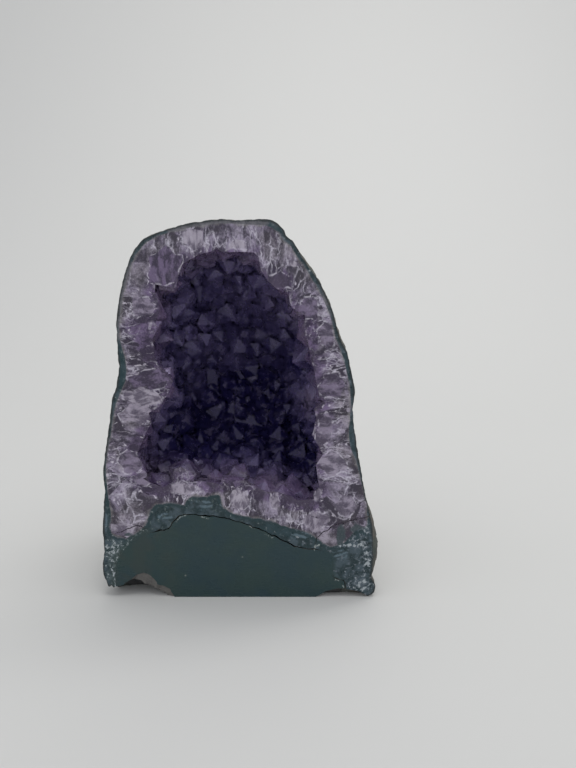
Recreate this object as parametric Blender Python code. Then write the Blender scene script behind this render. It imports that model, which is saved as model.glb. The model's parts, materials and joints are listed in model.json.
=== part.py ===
"""Amethyst geode, sawn open and stood up as a "cathedral": its rind, crystal crust and basalt base.

Metres, +Z up. The sawn and polished face looks along -Y and the stone stands on z = 0.
Outlines are drawn on that face, in millimetres, as (x, z) points in clockwise order.
"""
import math

import bmesh
import bpy
import numpy as np
from mathutils import Matrix, Vector, noise

MM = 0.001

# Driving dimensions, in millimetres
STONE_DEPTH = 104.0
HOLLOW_DEPTH = 90.0
WALL_DEPTH = 79.0
BASE_DEPTH = 52.0
FACE_Y = -STONE_DEPTH / 2
CRACK_GAP = 0.35
FIT_GAP = 0.35
SAW_REACH = 9.0

# How the rounded bodies behind the face are swept: their fullness, where they turn oval, and their last angle
BODY_FULLNESS = 0.52
HOLLOW_FULLNESS = 0.66
OVAL_FROM = 0.6
OVAL_WAVES = 3
BOWL_RADIUS = 90.0
BOWL_END = math.radians(88)

# Points round each body and rings from its face to its back
BODY_GRID = (84, 12)
HOLLOW_GRID = (48, 7)
WALL_GRID = (36, 6)
ROOT_GRID = (240, 40)
CURVE_STEPS = 12

# The rough outside: size and width of its lumps and knobs, and the ledge at the right foot
LUMPS = [(3.0, 23.0), (1.7, 10.0)]
LUMPS_OUT = 0.9
LUMPS_FROM = 10.0
BODY_MIDDLE = 0.35
POLE_CALM = 45.0
LEDGE_OUT = 3.4
LEDGE_HEIGHT = 29.0
LEDGE_HALF_HEIGHT = 17.0
LEDGE_BACK = 9.0

# The outer edge of the polished face, from the left foot over the top to the right foot
FACE_EDGE = [
    (-76.0, 7), (-77.0, 17), (-75.5, 30), (-74.8, 45), (-73.0, 62), (-72.6, 78), (-70.5, 88),
    (-67.5, 102), (-66.0, 113), (-63.0, 121), (-61.2, 131), (-61.5, 142), (-62.0, 149),
    (-60.0, 160), (-58.7, 168), (-55.0, 180), (-51.5, 188), (-45.5, 195.5), (-38.0, 199),
    (-28.0, 202), (-11.0, 205), (2.0, 205), (17.5, 204.8), (23.8, 200.8), (25.5, 197),
    (29.0, 194.5), (32.5, 189), (38.0, 181.5), (44.0, 171.5), (49.0, 160), (53.5, 145),
    (57.3, 138), (59.0, 129), (61.0, 120), (61.2, 112), (62.0, 99), (64.0, 87), (67.5, 70),
    (70.5, 58), (73.0, 43), (75.0, 26), (76.0, 14), (75.5, 6),
]
# The same rounded body carried on below the floor, where the saw took it off
BELOW_FLOOR = [(72, -25), (52, -55), (0, -68), (-52, -55), (-72, -25)]
BODY_POLE = (-2, 90)

# Where the crust meets the rind and its agate, on the face
CRUST_EDGE = [
    (-70.5, 39), (-70.5, 48), (-71.0, 60), (-71.4, 70), (-71.0, 79), (-69.0, 88), (-66.0, 102),
    (-64.0, 111), (-60.5, 119), (-57.5, 127), (-57.5, 135), (-59.4, 144), (-60.0, 150),
    (-58.3, 160), (-56.8, 168), (-53.5, 179), (-50.0, 187), (-44.5, 193.5), (-37.5, 197.2),
    (-28.0, 200), (-11.0, 203), (2.0, 203), (16.5, 202), (21.5, 199), (23.8, 195.3),
    (27.5, 192.5), (31.0, 187), (36.5, 179.5), (42.5, 169.5), (47.3, 159), (51.3, 145.5),
    (54.3, 138), (56.7, 129), (58.6, 120), (59.2, 112), (59.0, 104), (58.5, 96), (60.0, 87),
    (63.0, 79), (65.7, 69), (68.3, 58), (70.0, 48), (68.5, 43), (63.0, 39.5), (57.5, 33),
    (50.5, 31), (45.5, 33), (41.0, 38.5), (35.0, 41), (24.0, 45.5), (12.0, 48.5), (3.0, 50),
    (-3.5, 53), (-9.5, 59.5), (-21.0, 61), (-28.0, 59.5), (-36.0, 56), (-46.0, 53),
    (-52.0, 47.5), (-56.5, 40.5), (-63.5, 36.5),
]
HOLLOW_POLE = (-1, 100)

# The wall that the crystal points stand on, on the face
WALL_EDGE = [
    (-58.5, 66), (-60.5, 78), (-60.0, 90), (-56.5, 102), (-53.0, 114), (-49.5, 126),
    (-49.5, 140), (-49.5, 155), (-47.0, 170), (-41.5, 182), (-30.0, 190.5), (-14.0, 195),
    (4.0, 195.3), (15.5, 191), (25.5, 183), (34.0, 171), (40.0, 158), (43.5, 144), (46.5, 130),
    (49.0, 116), (49.5, 100), (50.0, 86), (52.0, 72), (53.5, 60), (49.0, 50), (42.0, 47.5),
    (33.0, 51.5), (20.0, 56), (6.0, 60), (-8.0, 66.5), (-23.0, 69), (-38.0, 66), (-50.0, 61),
]

# The lens of basalt under the crack, on the face
BASE_EDGE = [
    (-70.0, 0), (-70.0, 12), (-68.5, 21), (-63.5, 29), (-56.0, 34), (-49.0, 37.5),
    (-42.0, 41.5), (-37.0, 45), (-31.0, 49), (-22.0, 50), (-12.0, 49), (0.0, 46), (12.0, 40.8),
    (25.0, 33.8), (31.0, 30.6), (38.0, 28.8), (45.0, 29), (50.0, 26), (51.5, 20), (51.5, 13),
    (58.0, 8), (58.0, 0),
]
BASE_TAPER = (0.66, 0.5)
BASE_MIDDLE = -5.0
BASE_RINGS = (0.0, 0.35, 0.7, 1.0)
SEAT_BELOW = 3.0

# Chips broken from the sawn foot: middle (x, z) and half-sizes (x, depth, z)
CHIPS = [((-60, -9), (27, 17, 20)), ((55, -14), (24, 11, 20))]

# The opening that the sawn crystals leave, on the face
OPENING_EDGE = [
    (-51, 64), (-57, 72), (-52, 79), (-53, 90), (-49, 97), (-46, 105), (-39, 113), (-35.5, 123),
    (-40, 133), (-43.5, 145), (-42, 158), (-40, 172), (-30, 179), (-24, 186), (-12, 189.5),
    (9, 189), (14, 180), (24, 172), (31, 163), (35.5, 152), (38, 139), (41.5, 124), (42, 115),
    (39.5, 100), (39.5, 86), (42, 75), (45, 64), (42, 57), (33, 56), (22, 61), (10, 64),
    (-2, 68), (-14, 70), (-28, 71), (-40, 68),
]

# Crystals: how far apart, how wide, how tall and how steep they are
RIM_CRYSTALS = 40
RIM_RADIUS = (5.6, 7.4)
RIM_STAND = (5.0, 8.0)
RIM_BACK = 0.35
CRYSTAL_SPACING = 13.8
SPACING_SPREAD = 0.55
SPACING_WAVE = 23.0
RADIUS_SHARE = (0.52, 0.7)
STAND_SHARE = (0.1, 0.75)
TIP_SHARE = (1.0, 1.3)
TIP_OFF_AXIS = 0.3
ROOT_TAPER = 0.72
ROOT_DEPTH = 3.0
MOST_LEAN = math.tan(math.radians(26))
LEAN_SHARE = (0.1, 1.0)
TRIES = 6000
SEED = 7

# Colours
RIND_GREEN = (0.045, 0.062, 0.058, 1)
BASALT_GREEN = (0.028, 0.046, 0.048, 1)
AMETHYST = (0.09, 0.06, 0.16, 1)


def collection(name, hidden=False):
    made = bpy.data.collections.new(name)
    bpy.context.scene.collection.children.link(made)
    made.hide_render = hidden
    return made


def material(name, colour, roughness):
    made = bpy.data.materials.new(name)
    made.use_nodes = True
    shader = made.node_tree.nodes["Principled BSDF"]
    shader.inputs["Base Color"].default_value = colour
    shader.inputs["Roughness"].default_value = roughness
    return made


def smooth_loop(points, count):
    """A closed Catmull-Rom curve through the points, as count (x, z) pairs evenly spaced along it."""
    knots = np.array(points, float)
    before, after, later = np.roll(knots, 1, 0), np.roll(knots, -1, 0), np.roll(knots, -2, 0)
    steps = np.linspace(0, 1, CURVE_STEPS, endpoint=False)[None, :, None]
    a, b, c, d = (k[:, None, :] for k in (before, knots, after, later))
    curve = 0.5 * (
        2 * b + (c - a) * steps + (2 * a - 5 * b + 4 * c - d) * steps**2
        + (3 * b - a - 3 * c + d) * steps**3
    )
    return even_loop(curve.reshape(-1, 2), count)


def even_loop(points, count):
    """The closed polyline's points spaced evenly along it, starting at its lowest point at x = 0."""
    start = np.argmin(np.abs(points[:, 0]) + 0.5 * (points[:, 1] - points[:, 1].min()))
    loop = np.roll(points, -start, 0)
    loop = np.vstack([loop, loop[:1]])
    along = np.concatenate([[0], np.cumsum(np.linalg.norm(np.diff(loop, axis=0), axis=1))])
    places = np.linspace(0, along[-1], count, endpoint=False)
    return np.column_stack([np.interp(places, along, loop[:, k]) for k in (0, 1)])


def pushed_out(loop, distance):
    """The loop moved outwards along its own normals."""
    tangent = np.roll(loop, -1, 0) - np.roll(loop, 1, 0)
    normal = np.column_stack([-tangent[:, 1], tangent[:, 0]])
    return loop + distance * normal / np.linalg.norm(normal, axis=1)[:, None]


def oval(loop):
    """The loop with only its broadest waves kept, so its cusps and hollows are gone."""
    waves = np.fft.fft(loop[:, 0] + 1j * loop[:, 1])
    waves[OVAL_WAVES + 1 : -OVAL_WAVES] = 0
    smooth = np.fft.ifft(waves)
    return np.column_stack([smooth.real, smooth.imag])


def bowl_ring(loop, pole, depth, fullness, angle):
    """One ring of a bowl behind the face: the loop drawn in to the pole, and turned to an oval, as it deepens."""
    share = min(1.0, math.sin(angle) / OVAL_FROM)
    share = share * share * (3 - 2 * share)
    loop = loop + (oval(loop) - loop) * share
    drawn = np.array(pole) + (loop - pole) * math.cos(angle) ** fullness
    return np.column_stack([drawn[:, 0], np.full(len(loop), FACE_Y + depth * math.sin(angle)), drawn[:, 1]])


def bowl(loop, pole, depth, fullness, count, reach=0.0):
    """Rings of a bowl, evenly spaced along its side, from a rim carried forward by reach to near its pole."""
    fine = np.linspace(0, BOWL_END, 200)
    side = BOWL_RADIUS * np.column_stack([np.cos(fine) ** fullness, np.sin(fine)])
    along = np.concatenate([[0], np.cumsum(np.linalg.norm(np.diff(side, axis=0), axis=1))])
    angles = np.interp(np.linspace(0, along[-1], count), along, fine)
    rings = [bowl_ring(loop, pole, depth, fullness, angle) for angle in angles]
    if reach:
        rings.insert(0, rings[0] - [0, reach, 0])
    return rings


def lofted(name, rings, where, tips=(None, None)):
    """A closed mesh through rings of equal count in millimetres, each end closed on a tip or a flat cap."""
    count = len(rings[0])
    mesh = bmesh.new()
    rows = [[mesh.verts.new(Vector(p) * MM) for p in ring] for ring in rings]
    for row, following in zip(rows, rows[1:]):
        for k in range(count):
            j = (k + 1) % count
            mesh.faces.new((row[k], row[j], following[j]))
            mesh.faces.new((row[k], following[j], following[k]))
    for row, tip in ((rows[0], tips[0]), (rows[-1], tips[1])):
        if tip is None:
            mesh.faces.new(row)
            continue
        end = mesh.verts.new(Vector(tip) * MM)
        for k in range(count):
            mesh.faces.new((row[k], row[(k + 1) % count], end))
    bmesh.ops.recalc_face_normals(mesh, faces=mesh.faces)
    data = bpy.data.meshes.new(name)
    mesh.to_mesh(data)
    mesh.free()
    made = bpy.data.objects.new(name, data)
    where.objects.link(made)
    return made


def pole_point(pole, depth):
    return (pole[0], FACE_Y + depth, pole[1])


def boolean(target, cutter, operation, several=False):
    modifier = target.modifiers.new(operation.lower(), "BOOLEAN")
    modifier.operation = operation
    if several:
        modifier.operand_type = "COLLECTION"
        modifier.collection = cutter
    else:
        modifier.object = cutter
    return modifier


def block(name, low, high, where):
    """A box between two corners in millimetres."""
    low, high = Vector(low) * MM, Vector(high) * MM
    bpy.ops.mesh.primitive_cube_add(size=1, location=(low + high) / 2)
    made = bpy.context.object
    made.name = name
    made.dimensions = high - low
    bpy.ops.object.transform_apply(location=False, rotation=False, scale=True)
    for old in made.users_collection:
        old.objects.unlink(made)
    where.objects.link(made)
    return made


def chip(number, middle, half, where):
    """A scoop of broken stone at the foot of the face."""
    bpy.ops.mesh.primitive_uv_sphere_add(segments=20, ring_count=12, radius=MM)
    made = bpy.context.object
    made.name = f"chip_{number}"
    made.scale = half
    made.location = Vector((middle[0], FACE_Y, middle[1])) * MM
    bpy.ops.object.transform_apply(location=False, rotation=False, scale=True)
    for old in made.users_collection:
        old.objects.unlink(made)
    where.objects.link(made)
    return made


def rough(ring):
    """The ring pushed in and out by lumps that fade out at the sawn face, with the ledge by the right foot."""
    middle = np.array([BODY_POLE[0], FACE_Y + STONE_DEPTH * BODY_MIDDLE, BODY_POLE[1]])
    moved = []
    for p in ring:
        out = (p - middle) / np.linalg.norm(p - middle)
        back = p[1] - FACE_Y
        lump = LUMPS_OUT + sum(size * noise.noise(Vector(p) / width) for size, width in LUMPS)
        lump *= min(1.0, math.dist(p[[0, 2]], BODY_POLE) / POLE_CALM)
        moved.append(p + out * lump * min(1.0, back / LUMPS_FROM))
        if p[0] > 0:
            high = (p[2] - LEDGE_HEIGHT) / LEDGE_HALF_HEIGHT
            deep = back / LEDGE_BACK
            moved[-1][0] += LEDGE_OUT * math.exp(-(high**2)) * deep * math.exp(1 - deep) ** 1.2
    return np.array(moved)


def stone_body(name, where):
    """The whole stone before it was hollowed: a rough rounded body behind its sawn face."""
    around, count = BODY_GRID
    loop = smooth_loop(FACE_EDGE + BELOW_FLOOR, around)
    rings = bowl(loop, BODY_POLE, STONE_DEPTH, BODY_FULLNESS, count)
    rings = [rings[0]] + [rough(ring) for ring in rings[1:]]
    return lofted(name, rings, where, (None, pole_point(BODY_POLE, STONE_DEPTH)))


def hollow_body(name, gap, where):
    """The space inside the rind that the crust fills, drawn in by a gap."""
    around, count = HOLLOW_GRID
    loop = pushed_out(smooth_loop(CRUST_EDGE, around), -gap)
    depth = HOLLOW_DEPTH - 2 * gap
    rings = bowl(loop, HOLLOW_POLE, depth, HOLLOW_FULLNESS, count, SAW_REACH)
    return lofted(name, rings, where, (None, pole_point(HOLLOW_POLE, depth)))


def wall_rings(grid):
    around, count = grid
    return bowl(smooth_loop(WALL_EDGE, around), HOLLOW_POLE, WALL_DEPTH, HOLLOW_FULLNESS, count, SAW_REACH)


def base_body(name, grow, where, foot=0.0):
    """The basalt lens, tapering back from the face. Grown by the crack, it cuts its own seat in the rind."""
    edge = np.array(BASE_EDGE, float)
    edge[[0, -1], 1] = foot
    loop = pushed_out(edge, grow)
    loop[[0, -1], 1] = foot
    front = np.column_stack([loop[:, 0], np.full(len(loop), FACE_Y), loop[:, 1]])
    rings = []
    for share in BASE_RINGS:
        ring = front.copy()
        narrow = [1 + (end - 1) * share for end in BASE_TAPER]
        ring[:, 0] = BASE_MIDDLE + (ring[:, 0] - BASE_MIDDLE) * narrow[0]
        ring[:, 2] = np.where(ring[:, 2] > 0, ring[:, 2] * narrow[1], ring[:, 2])
        ring[:, 1] = FACE_Y + (BASE_DEPTH + grow) * share
        rings.append(ring)
    if grow:
        rings.insert(0, rings[0] - [0, SAW_REACH, 0])
    return lofted(name, rings, where)


def wall_roots(rng):
    """Places on the hollow's wall, the way each crystal grows there, and its spacing to the next."""
    rings = np.array(wall_rings(ROOT_GRID)[1:])
    around = np.roll(rings, -1, 1) - np.roll(rings, 1, 1)
    normal = np.cross(np.gradient(rings, axis=0), around)
    area = np.linalg.norm(normal, axis=2)
    area[rings[:, :, 1] < FACE_Y + CRYSTAL_SPACING / 2] = 0
    places = rings.reshape(-1, 3)
    ways = normal.reshape(-1, 3) / np.linalg.norm(normal.reshape(-1, 3), axis=1)[:, None]
    taken = np.empty((0, 3))
    for k in rng.choice(len(places), TRIES, p=(area / area.sum()).ravel()):
        spacing = CRYSTAL_SPACING * (1 + SPACING_SPREAD * noise.noise(Vector(places[k]) / SPACING_WAVE))
        if not len(taken) or np.linalg.norm(taken - places[k], axis=1).min() > spacing:
            taken = np.vstack([taken, places[k]])
            yield places[k], ways[k], spacing


def crystal(root, way, radius, stand, rng, where):
    """A six-sided prism rooted in the wall, leaning a little, with a six-faced point set off its axis."""
    lean = Vector(rng.normal(size=3)).normalized() * MOST_LEAN * rng.uniform(*LEAN_SHARE)
    axis = (Vector(way) + lean).normalized()
    length = ROOT_DEPTH + stand
    tip = radius * rng.uniform(*TIP_SHARE)
    off = TIP_OFF_AXIS * radius * rng.uniform(-1, 1, 2)
    turn = Matrix.Rotation(rng.uniform(0, math.tau), 3, "Z")
    mesh = bmesh.new()
    bmesh.ops.create_cone(
        mesh, cap_ends=True, segments=6, radius1=radius * ROOT_TAPER, radius2=radius, depth=length
    )
    top = max(mesh.faces, key=lambda face: face.calc_center_median().z)
    point = bmesh.ops.poke(mesh, faces=[top], offset=tip)["verts"][0]
    point.co += Vector((*off, 0))
    bmesh.ops.translate(mesh, verts=mesh.verts, vec=(0, 0, length / 2 - ROOT_DEPTH))
    upright = axis.to_track_quat("Z", "Y").to_matrix()
    bmesh.ops.rotate(mesh, verts=mesh.verts, cent=(0, 0, 0), matrix=upright @ turn)
    bmesh.ops.translate(mesh, verts=mesh.verts, vec=Vector(root))
    bmesh.ops.scale(mesh, verts=mesh.verts, vec=(MM, MM, MM))
    name = f"crystal_{len(where.objects)}"
    data = bpy.data.meshes.new(name)
    mesh.to_mesh(data)
    mesh.free()
    where.objects.link(bpy.data.objects.new(name, data))


def rim_crystals(rng, where):
    """The row of crystals that the saw went through: their points stand on the opening's edge."""
    tips = smooth_loop(OPENING_EDGE, RIM_CRYSTALS)
    inwards = tips - pushed_out(tips, 1.0)
    for (x, z), (way_x, way_z) in zip(tips, inwards):
        radius, stand = rng.uniform(*RIM_RADIUS), rng.uniform(*RIM_STAND)
        back = stand + radius
        y = FACE_Y + rng.uniform(-RIM_BACK, RIM_BACK) * radius
        crystal((x - back * way_x, y, z - back * way_z), (way_x, 0, way_z), radius, stand, rng, where)


def wall_crystals(rng, where):
    for root, way, spacing in wall_roots(rng):
        radius = spacing * rng.uniform(*RADIUS_SHARE)
        crystal(root, way, radius, radius * rng.uniform(*STAND_SHARE), rng, where)


def make_rind(parts, cutters, floor, chips):
    rind = stone_body("rind", parts)
    rind.data.materials.append(material("rind_stone", RIND_GREEN, 0.6))
    space = hollow_body("crust_seat", 0.0, cutters)
    seat = base_body("base_seat", CRACK_GAP, cutters, foot=-SEAT_BELOW)
    for cutter in (space, seat, floor, *chips):
        boolean(rind, cutter, "DIFFERENCE")
    return rind


def make_crust(parts, cutters, points, saw):
    crust = hollow_body("crystal_crust", FIT_GAP, parts)
    crust.data.materials.append(material("amethyst", AMETHYST, 0.25))
    wall = lofted("wall", wall_rings(WALL_GRID), cutters, (None, pole_point(HOLLOW_POLE, WALL_DEPTH)))
    boolean(wall, points, "DIFFERENCE", several=True)
    boolean(crust, wall, "DIFFERENCE")
    boolean(crust, saw, "DIFFERENCE")
    fill_pockets(crust)
    return crust


def islands(mesh):
    """The mesh's separate shells, each as its set of vertices."""
    left, found = set(mesh.verts), []
    while left:
        front, shell = [left.pop()], set()
        while front:
            vertex = front.pop()
            shell.add(vertex)
            for edge in vertex.link_edges:
                other = edge.other_vert(vertex)
                if other in left:
                    left.discard(other)
                    front.append(other)
        found.append(shell)
    return found


def fill_pockets(piece):
    """Applies the piece's modifiers, then fills the closed pockets left between its crystals' roots."""
    graph = bpy.context.evaluated_depsgraph_get()
    piece.data = bpy.data.meshes.new_from_object(piece.evaluated_get(graph))
    piece.modifiers.clear()
    mesh = bmesh.new()
    mesh.from_mesh(piece.data)
    shells = sorted(islands(mesh), key=len)
    for shell in shells[:-1]:
        bmesh.ops.delete(mesh, geom=list(shell), context="VERTS")
    mesh.to_mesh(piece.data)
    mesh.free()


def make_base(parts, chips):
    base = base_body("base_rock", 0.0, parts)
    base.data.materials.append(material("basalt", BASALT_GREEN, 0.25))
    for cutter in chips:
        boolean(base, cutter, "DIFFERENCE")
    return base


def centred(nodes, objects):
    """Moves everything so that the nodes' bounding box is centred on x = y = 0."""
    graph = bpy.context.evaluated_depsgraph_get()
    corners = []
    for node in nodes:
        evaluated = node.evaluated_get(graph)
        corners += [evaluated.matrix_world @ Vector(c) for c in evaluated.bound_box]
    for axis in (0, 1):
        spread = [c[axis] for c in corners]
        shift = -(min(spread) + max(spread)) / 2
        for each in objects:
            each.location[axis] += shift


def main():
    for old in list(bpy.data.objects):
        bpy.data.objects.remove(old, do_unlink=True)
    parts = collection("amethyst_geode")
    cutters = collection("cutters", hidden=True)
    points = collection("crystal_points", hidden=True)
    floor = block("floor", (-120, -90, -90), (120, 90, 0), cutters)
    saw = block("saw", (-120, FACE_Y - 60, -20), (120, FACE_Y, 240), cutters)
    chips = [chip(k, middle, half, cutters) for k, (middle, half) in enumerate(CHIPS)]
    rng = np.random.default_rng(SEED)
    rim_crystals(rng, points)
    wall_crystals(rng, points)
    nodes = [
        make_rind(parts, cutters, floor, chips),
        make_crust(parts, cutters, points, saw),
        make_base(parts, chips),
    ]
    helpers = [*cutters.objects, *points.objects]
    for helper in helpers:
        helper.hide_render = True
        helper.display_type = "WIRE"
    centred(nodes, nodes + helpers)


main()
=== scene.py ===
"""Amethyst geode: the looks of its basalt lens, its rind and its crystal crust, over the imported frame.

The pieces are drawn in millimetres, x and z in the plane of the sawn face, which looks along -Y as in the solids.
The floor and the lamps are in metres.
"""
import itertools
import json
import math

import bmesh
import bpy
import numpy as np
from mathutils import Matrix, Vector, noise

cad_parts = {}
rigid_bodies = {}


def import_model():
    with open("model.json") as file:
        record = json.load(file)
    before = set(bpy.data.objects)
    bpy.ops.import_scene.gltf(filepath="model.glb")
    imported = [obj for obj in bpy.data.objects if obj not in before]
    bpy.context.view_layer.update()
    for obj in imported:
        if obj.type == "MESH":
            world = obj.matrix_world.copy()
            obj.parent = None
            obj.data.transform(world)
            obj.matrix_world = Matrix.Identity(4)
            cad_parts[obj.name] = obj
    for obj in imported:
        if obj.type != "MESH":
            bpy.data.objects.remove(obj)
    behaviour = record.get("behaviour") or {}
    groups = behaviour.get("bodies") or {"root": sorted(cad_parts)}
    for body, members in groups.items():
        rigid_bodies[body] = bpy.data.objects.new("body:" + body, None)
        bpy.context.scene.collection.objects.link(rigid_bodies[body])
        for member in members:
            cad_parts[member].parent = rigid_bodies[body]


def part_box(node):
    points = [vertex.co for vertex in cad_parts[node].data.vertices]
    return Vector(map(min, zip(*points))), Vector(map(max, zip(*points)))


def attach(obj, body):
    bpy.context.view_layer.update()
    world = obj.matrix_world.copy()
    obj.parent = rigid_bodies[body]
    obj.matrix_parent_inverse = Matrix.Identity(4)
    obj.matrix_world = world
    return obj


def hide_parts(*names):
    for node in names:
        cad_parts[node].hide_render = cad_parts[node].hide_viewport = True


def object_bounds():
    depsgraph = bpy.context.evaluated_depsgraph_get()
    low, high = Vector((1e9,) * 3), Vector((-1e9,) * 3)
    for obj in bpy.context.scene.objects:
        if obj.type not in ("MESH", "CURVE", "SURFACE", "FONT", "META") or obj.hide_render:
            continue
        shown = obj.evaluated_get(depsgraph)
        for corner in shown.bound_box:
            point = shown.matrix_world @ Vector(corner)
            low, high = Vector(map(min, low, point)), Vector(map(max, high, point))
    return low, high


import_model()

MM = 0.001
cad_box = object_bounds()

# Camera, floor and light
# The camera stands close before the stone, above it and to its right, and looks 12 degrees down. The floor is a pale
# sheet that curves up behind. A wide soft lamp hangs overhead, a small one in front of it, and one lights the sheet.

FACE_Y = -52.0
LENS_LEFT = -70.0
lens_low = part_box("base_rock")[0]
SHIFT = np.array([lens_low.x / MM - LENS_LEFT, lens_low.y / MM - FACE_Y, 0.0])

CAMERA_RIGHT, CAMERA_AHEAD, CAMERA_HEIGHT = 26.4, 305.5, 186.9
CAMERA_PITCH = 11.92
SENSOR_HEIGHT = 36.0
FOCAL_PIXELS, PICTURE_HEIGHT = 600, 768
FLOOR_HALF_WIDTH, FLOOR_FRONT = 3.0, -2.5
CURVE_FROM, CURVE_RADIUS, WALL_TOP = 0.3, 1.2, 4.0
CARD_COLOUR = (0.55, 0.55, 0.535, 1)
ROOM_COLOUR = (0.93, 0.95, 1.0, 1)
ROOM_STRENGTH = 0.79


def placed(name, data):
    """An object with this data, put into the scene."""
    made = bpy.data.objects.new(name, data)
    bpy.context.scene.collection.objects.link(made)
    return made


camera = placed("camera", bpy.data.cameras.new("camera"))
camera.data.lens = SENSOR_HEIGHT * FOCAL_PIXELS / PICTURE_HEIGHT
camera.location = (CAMERA_RIGHT * MM + SHIFT[0] * MM, lens_low.y - CAMERA_AHEAD * MM, CAMERA_HEIGHT * MM)
camera.rotation_euler = (math.radians(90 - CAMERA_PITCH), 0, 0)
bpy.context.scene.camera = camera


def quads(index):
    """The four-sided faces between the neighbours in a grid of point numbers."""
    return np.stack([index[:-1, :-1], index[:-1, 1:], index[1:, 1:], index[1:, :-1]], axis=-1).reshape(-1, 4)


def swept_floor():
    """A floor that curves up into a wall behind, as a profile of (y, z) points carried along x."""
    turn = np.linspace(0, math.pi / 2, 24)
    y = np.concatenate([[FLOOR_FRONT], CURVE_FROM + CURVE_RADIUS * np.sin(turn), [CURVE_FROM + CURVE_RADIUS]])
    z = np.concatenate([[0.0], CURVE_RADIUS - CURVE_RADIUS * np.cos(turn), [WALL_TOP]])
    x = np.array([-FLOOR_HALF_WIDTH, FLOOR_HALF_WIDTH])
    points = np.stack(np.broadcast_arrays(x[None, :], y[:, None], z[:, None]), axis=-1).reshape(-1, 3)
    data = bpy.data.meshes.new("floor")
    data.from_pydata(points.tolist(), [], quads(np.arange(len(points)).reshape(-1, 2)).tolist())
    data.shade_smooth()
    return placed("floor", data)


floor = swept_floor()
card = bpy.data.materials.new("pale_card")
card.use_nodes = True
card.node_tree.nodes["Principled BSDF"].inputs["Base Color"].default_value = CARD_COLOUR
card.node_tree.nodes["Principled BSDF"].inputs["Roughness"].default_value = 0.85
floor.data.materials.append(card)


def soft_light(name, size, power, place, aim, colour):
    """A rectangular lamp, in metres and watts, that hangs at the place and shines at the aim."""
    data = bpy.data.lights.new(name, "AREA")
    data.shape = "RECTANGLE"
    data.size, data.size_y = size
    data.energy = power
    data.color = colour
    lamp = placed(name, data)
    lamp.location = place
    lamp.rotation_euler = (Vector(aim) - Vector(place)).to_track_quat("-Z", "Y").to_euler()


soft_light("overhead", (1.6, 1.1), 4.0, (0.3, 0.15, 1.3), (0.0, 0.0, 0.05), (1.0, 0.99, 0.96))
soft_light("small_overhead", (0.22, 0.22), 1.7, (0.1, -0.35, 1.2), (0.0, -0.04, 0.1), (1.0, 1.0, 1.0))
soft_light("backdrop_wash", (2.0, 0.5), 11.5, (0.4, 0.3, 1.7), (0.1, 1.2, 0.5), (1.0, 0.98, 0.96))
world = bpy.data.worlds.new("room")
world.use_nodes = True
world.node_tree.nodes["Background"].inputs["Color"].default_value = ROOM_COLOUR
world.node_tree.nodes["Background"].inputs["Strength"].default_value = ROOM_STRENGTH
bpy.context.scene.world = world
bpy.context.scene.view_settings.view_transform = "Standard"

# Basalt lens
# The dark green basalt that the geode grew against, left in the foot of the stone. Sawn flat and polished on the
# face and the underside. A crack has opened over its arch, and its two front corners are chipped.

BASE_EDGE = [
    (-70.0, 0), (-70.0, 12), (-68.5, 21), (-63.5, 29.5), (-57.5, 34.5), (-54.0, 37.8), (-49.0, 38.9), (-44.0, 39.9),
    (-38.9, 41.2), (-36.6, 44.4), (-34.6, 47), (-30.5, 49.2), (-23.4, 49.4), (-16.4, 48.2), (-8.3, 47.1), (1.8, 44.4),
    (11.8, 40), (22.0, 34.6), (30.1, 30.8), (38.0, 28.9), (45.0, 28.5), (50.0, 26), (51.5, 20), (51.8, 12.5),
    (57.4, 9.0), (58.0, 0),
]
BASE_DEPTH = 52.0
BASE_TAPER = (0.66, 0.5)
BASE_MIDDLE = -5.0
CRACK, CRACK_CLOSED = 0.62, 0.02
ARCH_LEFT, ARCH_RIGHT, ARCH_FOOT = (-50, -43), (46, 41), (24, 28)
CORNER_LEFT, CORNER_TOP = (51, 53), (16, 12)
CHIPS = [
    ((-61, -12.5), (26, 17, 20)), ((-60, 0), (7.5, 11, 10.8)), ((-54.5, 2), (8.5, 2.6, 13)),
    ((-47, -2), (9.5, 2.3, 10)), ((57, -15), (23, 8, 20)),
]
BRUISES = [
    [(-35.2, 45.2), (-32.5, 48), (-29, 49.6)], [(40.7, 28.6), (41.2, 31), (43.6, 32)],
    [(41.2, 28.8), (41.7, 30.6), (43.6, 31.5)], [(-21, 48.2), (-17, 47.4)], [(57.4, 5), (57.2, 7.6)],
    [(52.5, 10.6), (54.5, 10)], [(5, 42.9), (8, 41.6)], [(-56, 41.5), (-52.5, 39.8)], [(44, 39.5), (47, 41.8)],
    [(14, 38), (18, 35.9)],
]
BRUISE_WIDTH = 0.6
SAW_CELL = 0.6
SAW_WIDTH, SAW_FOOT, SAW_TOP, SAW_AHEAD = 84, -6, 212, 40
LENS_POINTS, LENS_RINGS, LENS_AHEAD = 420, 14, 6
ON_PLANE = 0.02


def smooth_noise(points, width, seed=0):
    """Random numbers, mostly from -1 to 1, that vary smoothly over width: each corner of a cubic lattice has a random
    slope, and its rise along the way to the point is blended across the cube by 6t^5 - 15t^4 + 10t^3 on each axis."""
    place = np.asarray(points, float) / width + 31.7 * seed + 500
    cell = np.floor(place).astype(np.int64)
    way = place - cell
    t = way * way * way * (way * (way * 6 - 15) + 10)
    total = np.zeros(place.shape[:-1])
    for corner in itertools.product((0, 1), repeat=3):
        x, y, z = np.moveaxis(cell + np.array(corner), -1, 0)
        mixed = (x * 374761393 + y * 668265263 + z * 974634777) & 0x7FFFFFFF
        mixed = ((mixed ^ (mixed >> 13)) * 1274126177) & 0x7FFFFFFF
        mixed ^= mixed >> 15
        slope = np.stack([(mixed >> shift & 255) / 127.5 - 1 for shift in (0, 8, 16)], axis=-1)
        rise = (slope * (way - corner)).sum(-1)
        total += rise * np.prod(np.where(np.array(corner), t, 1 - t), axis=-1)
    return 1.5 * total


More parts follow.
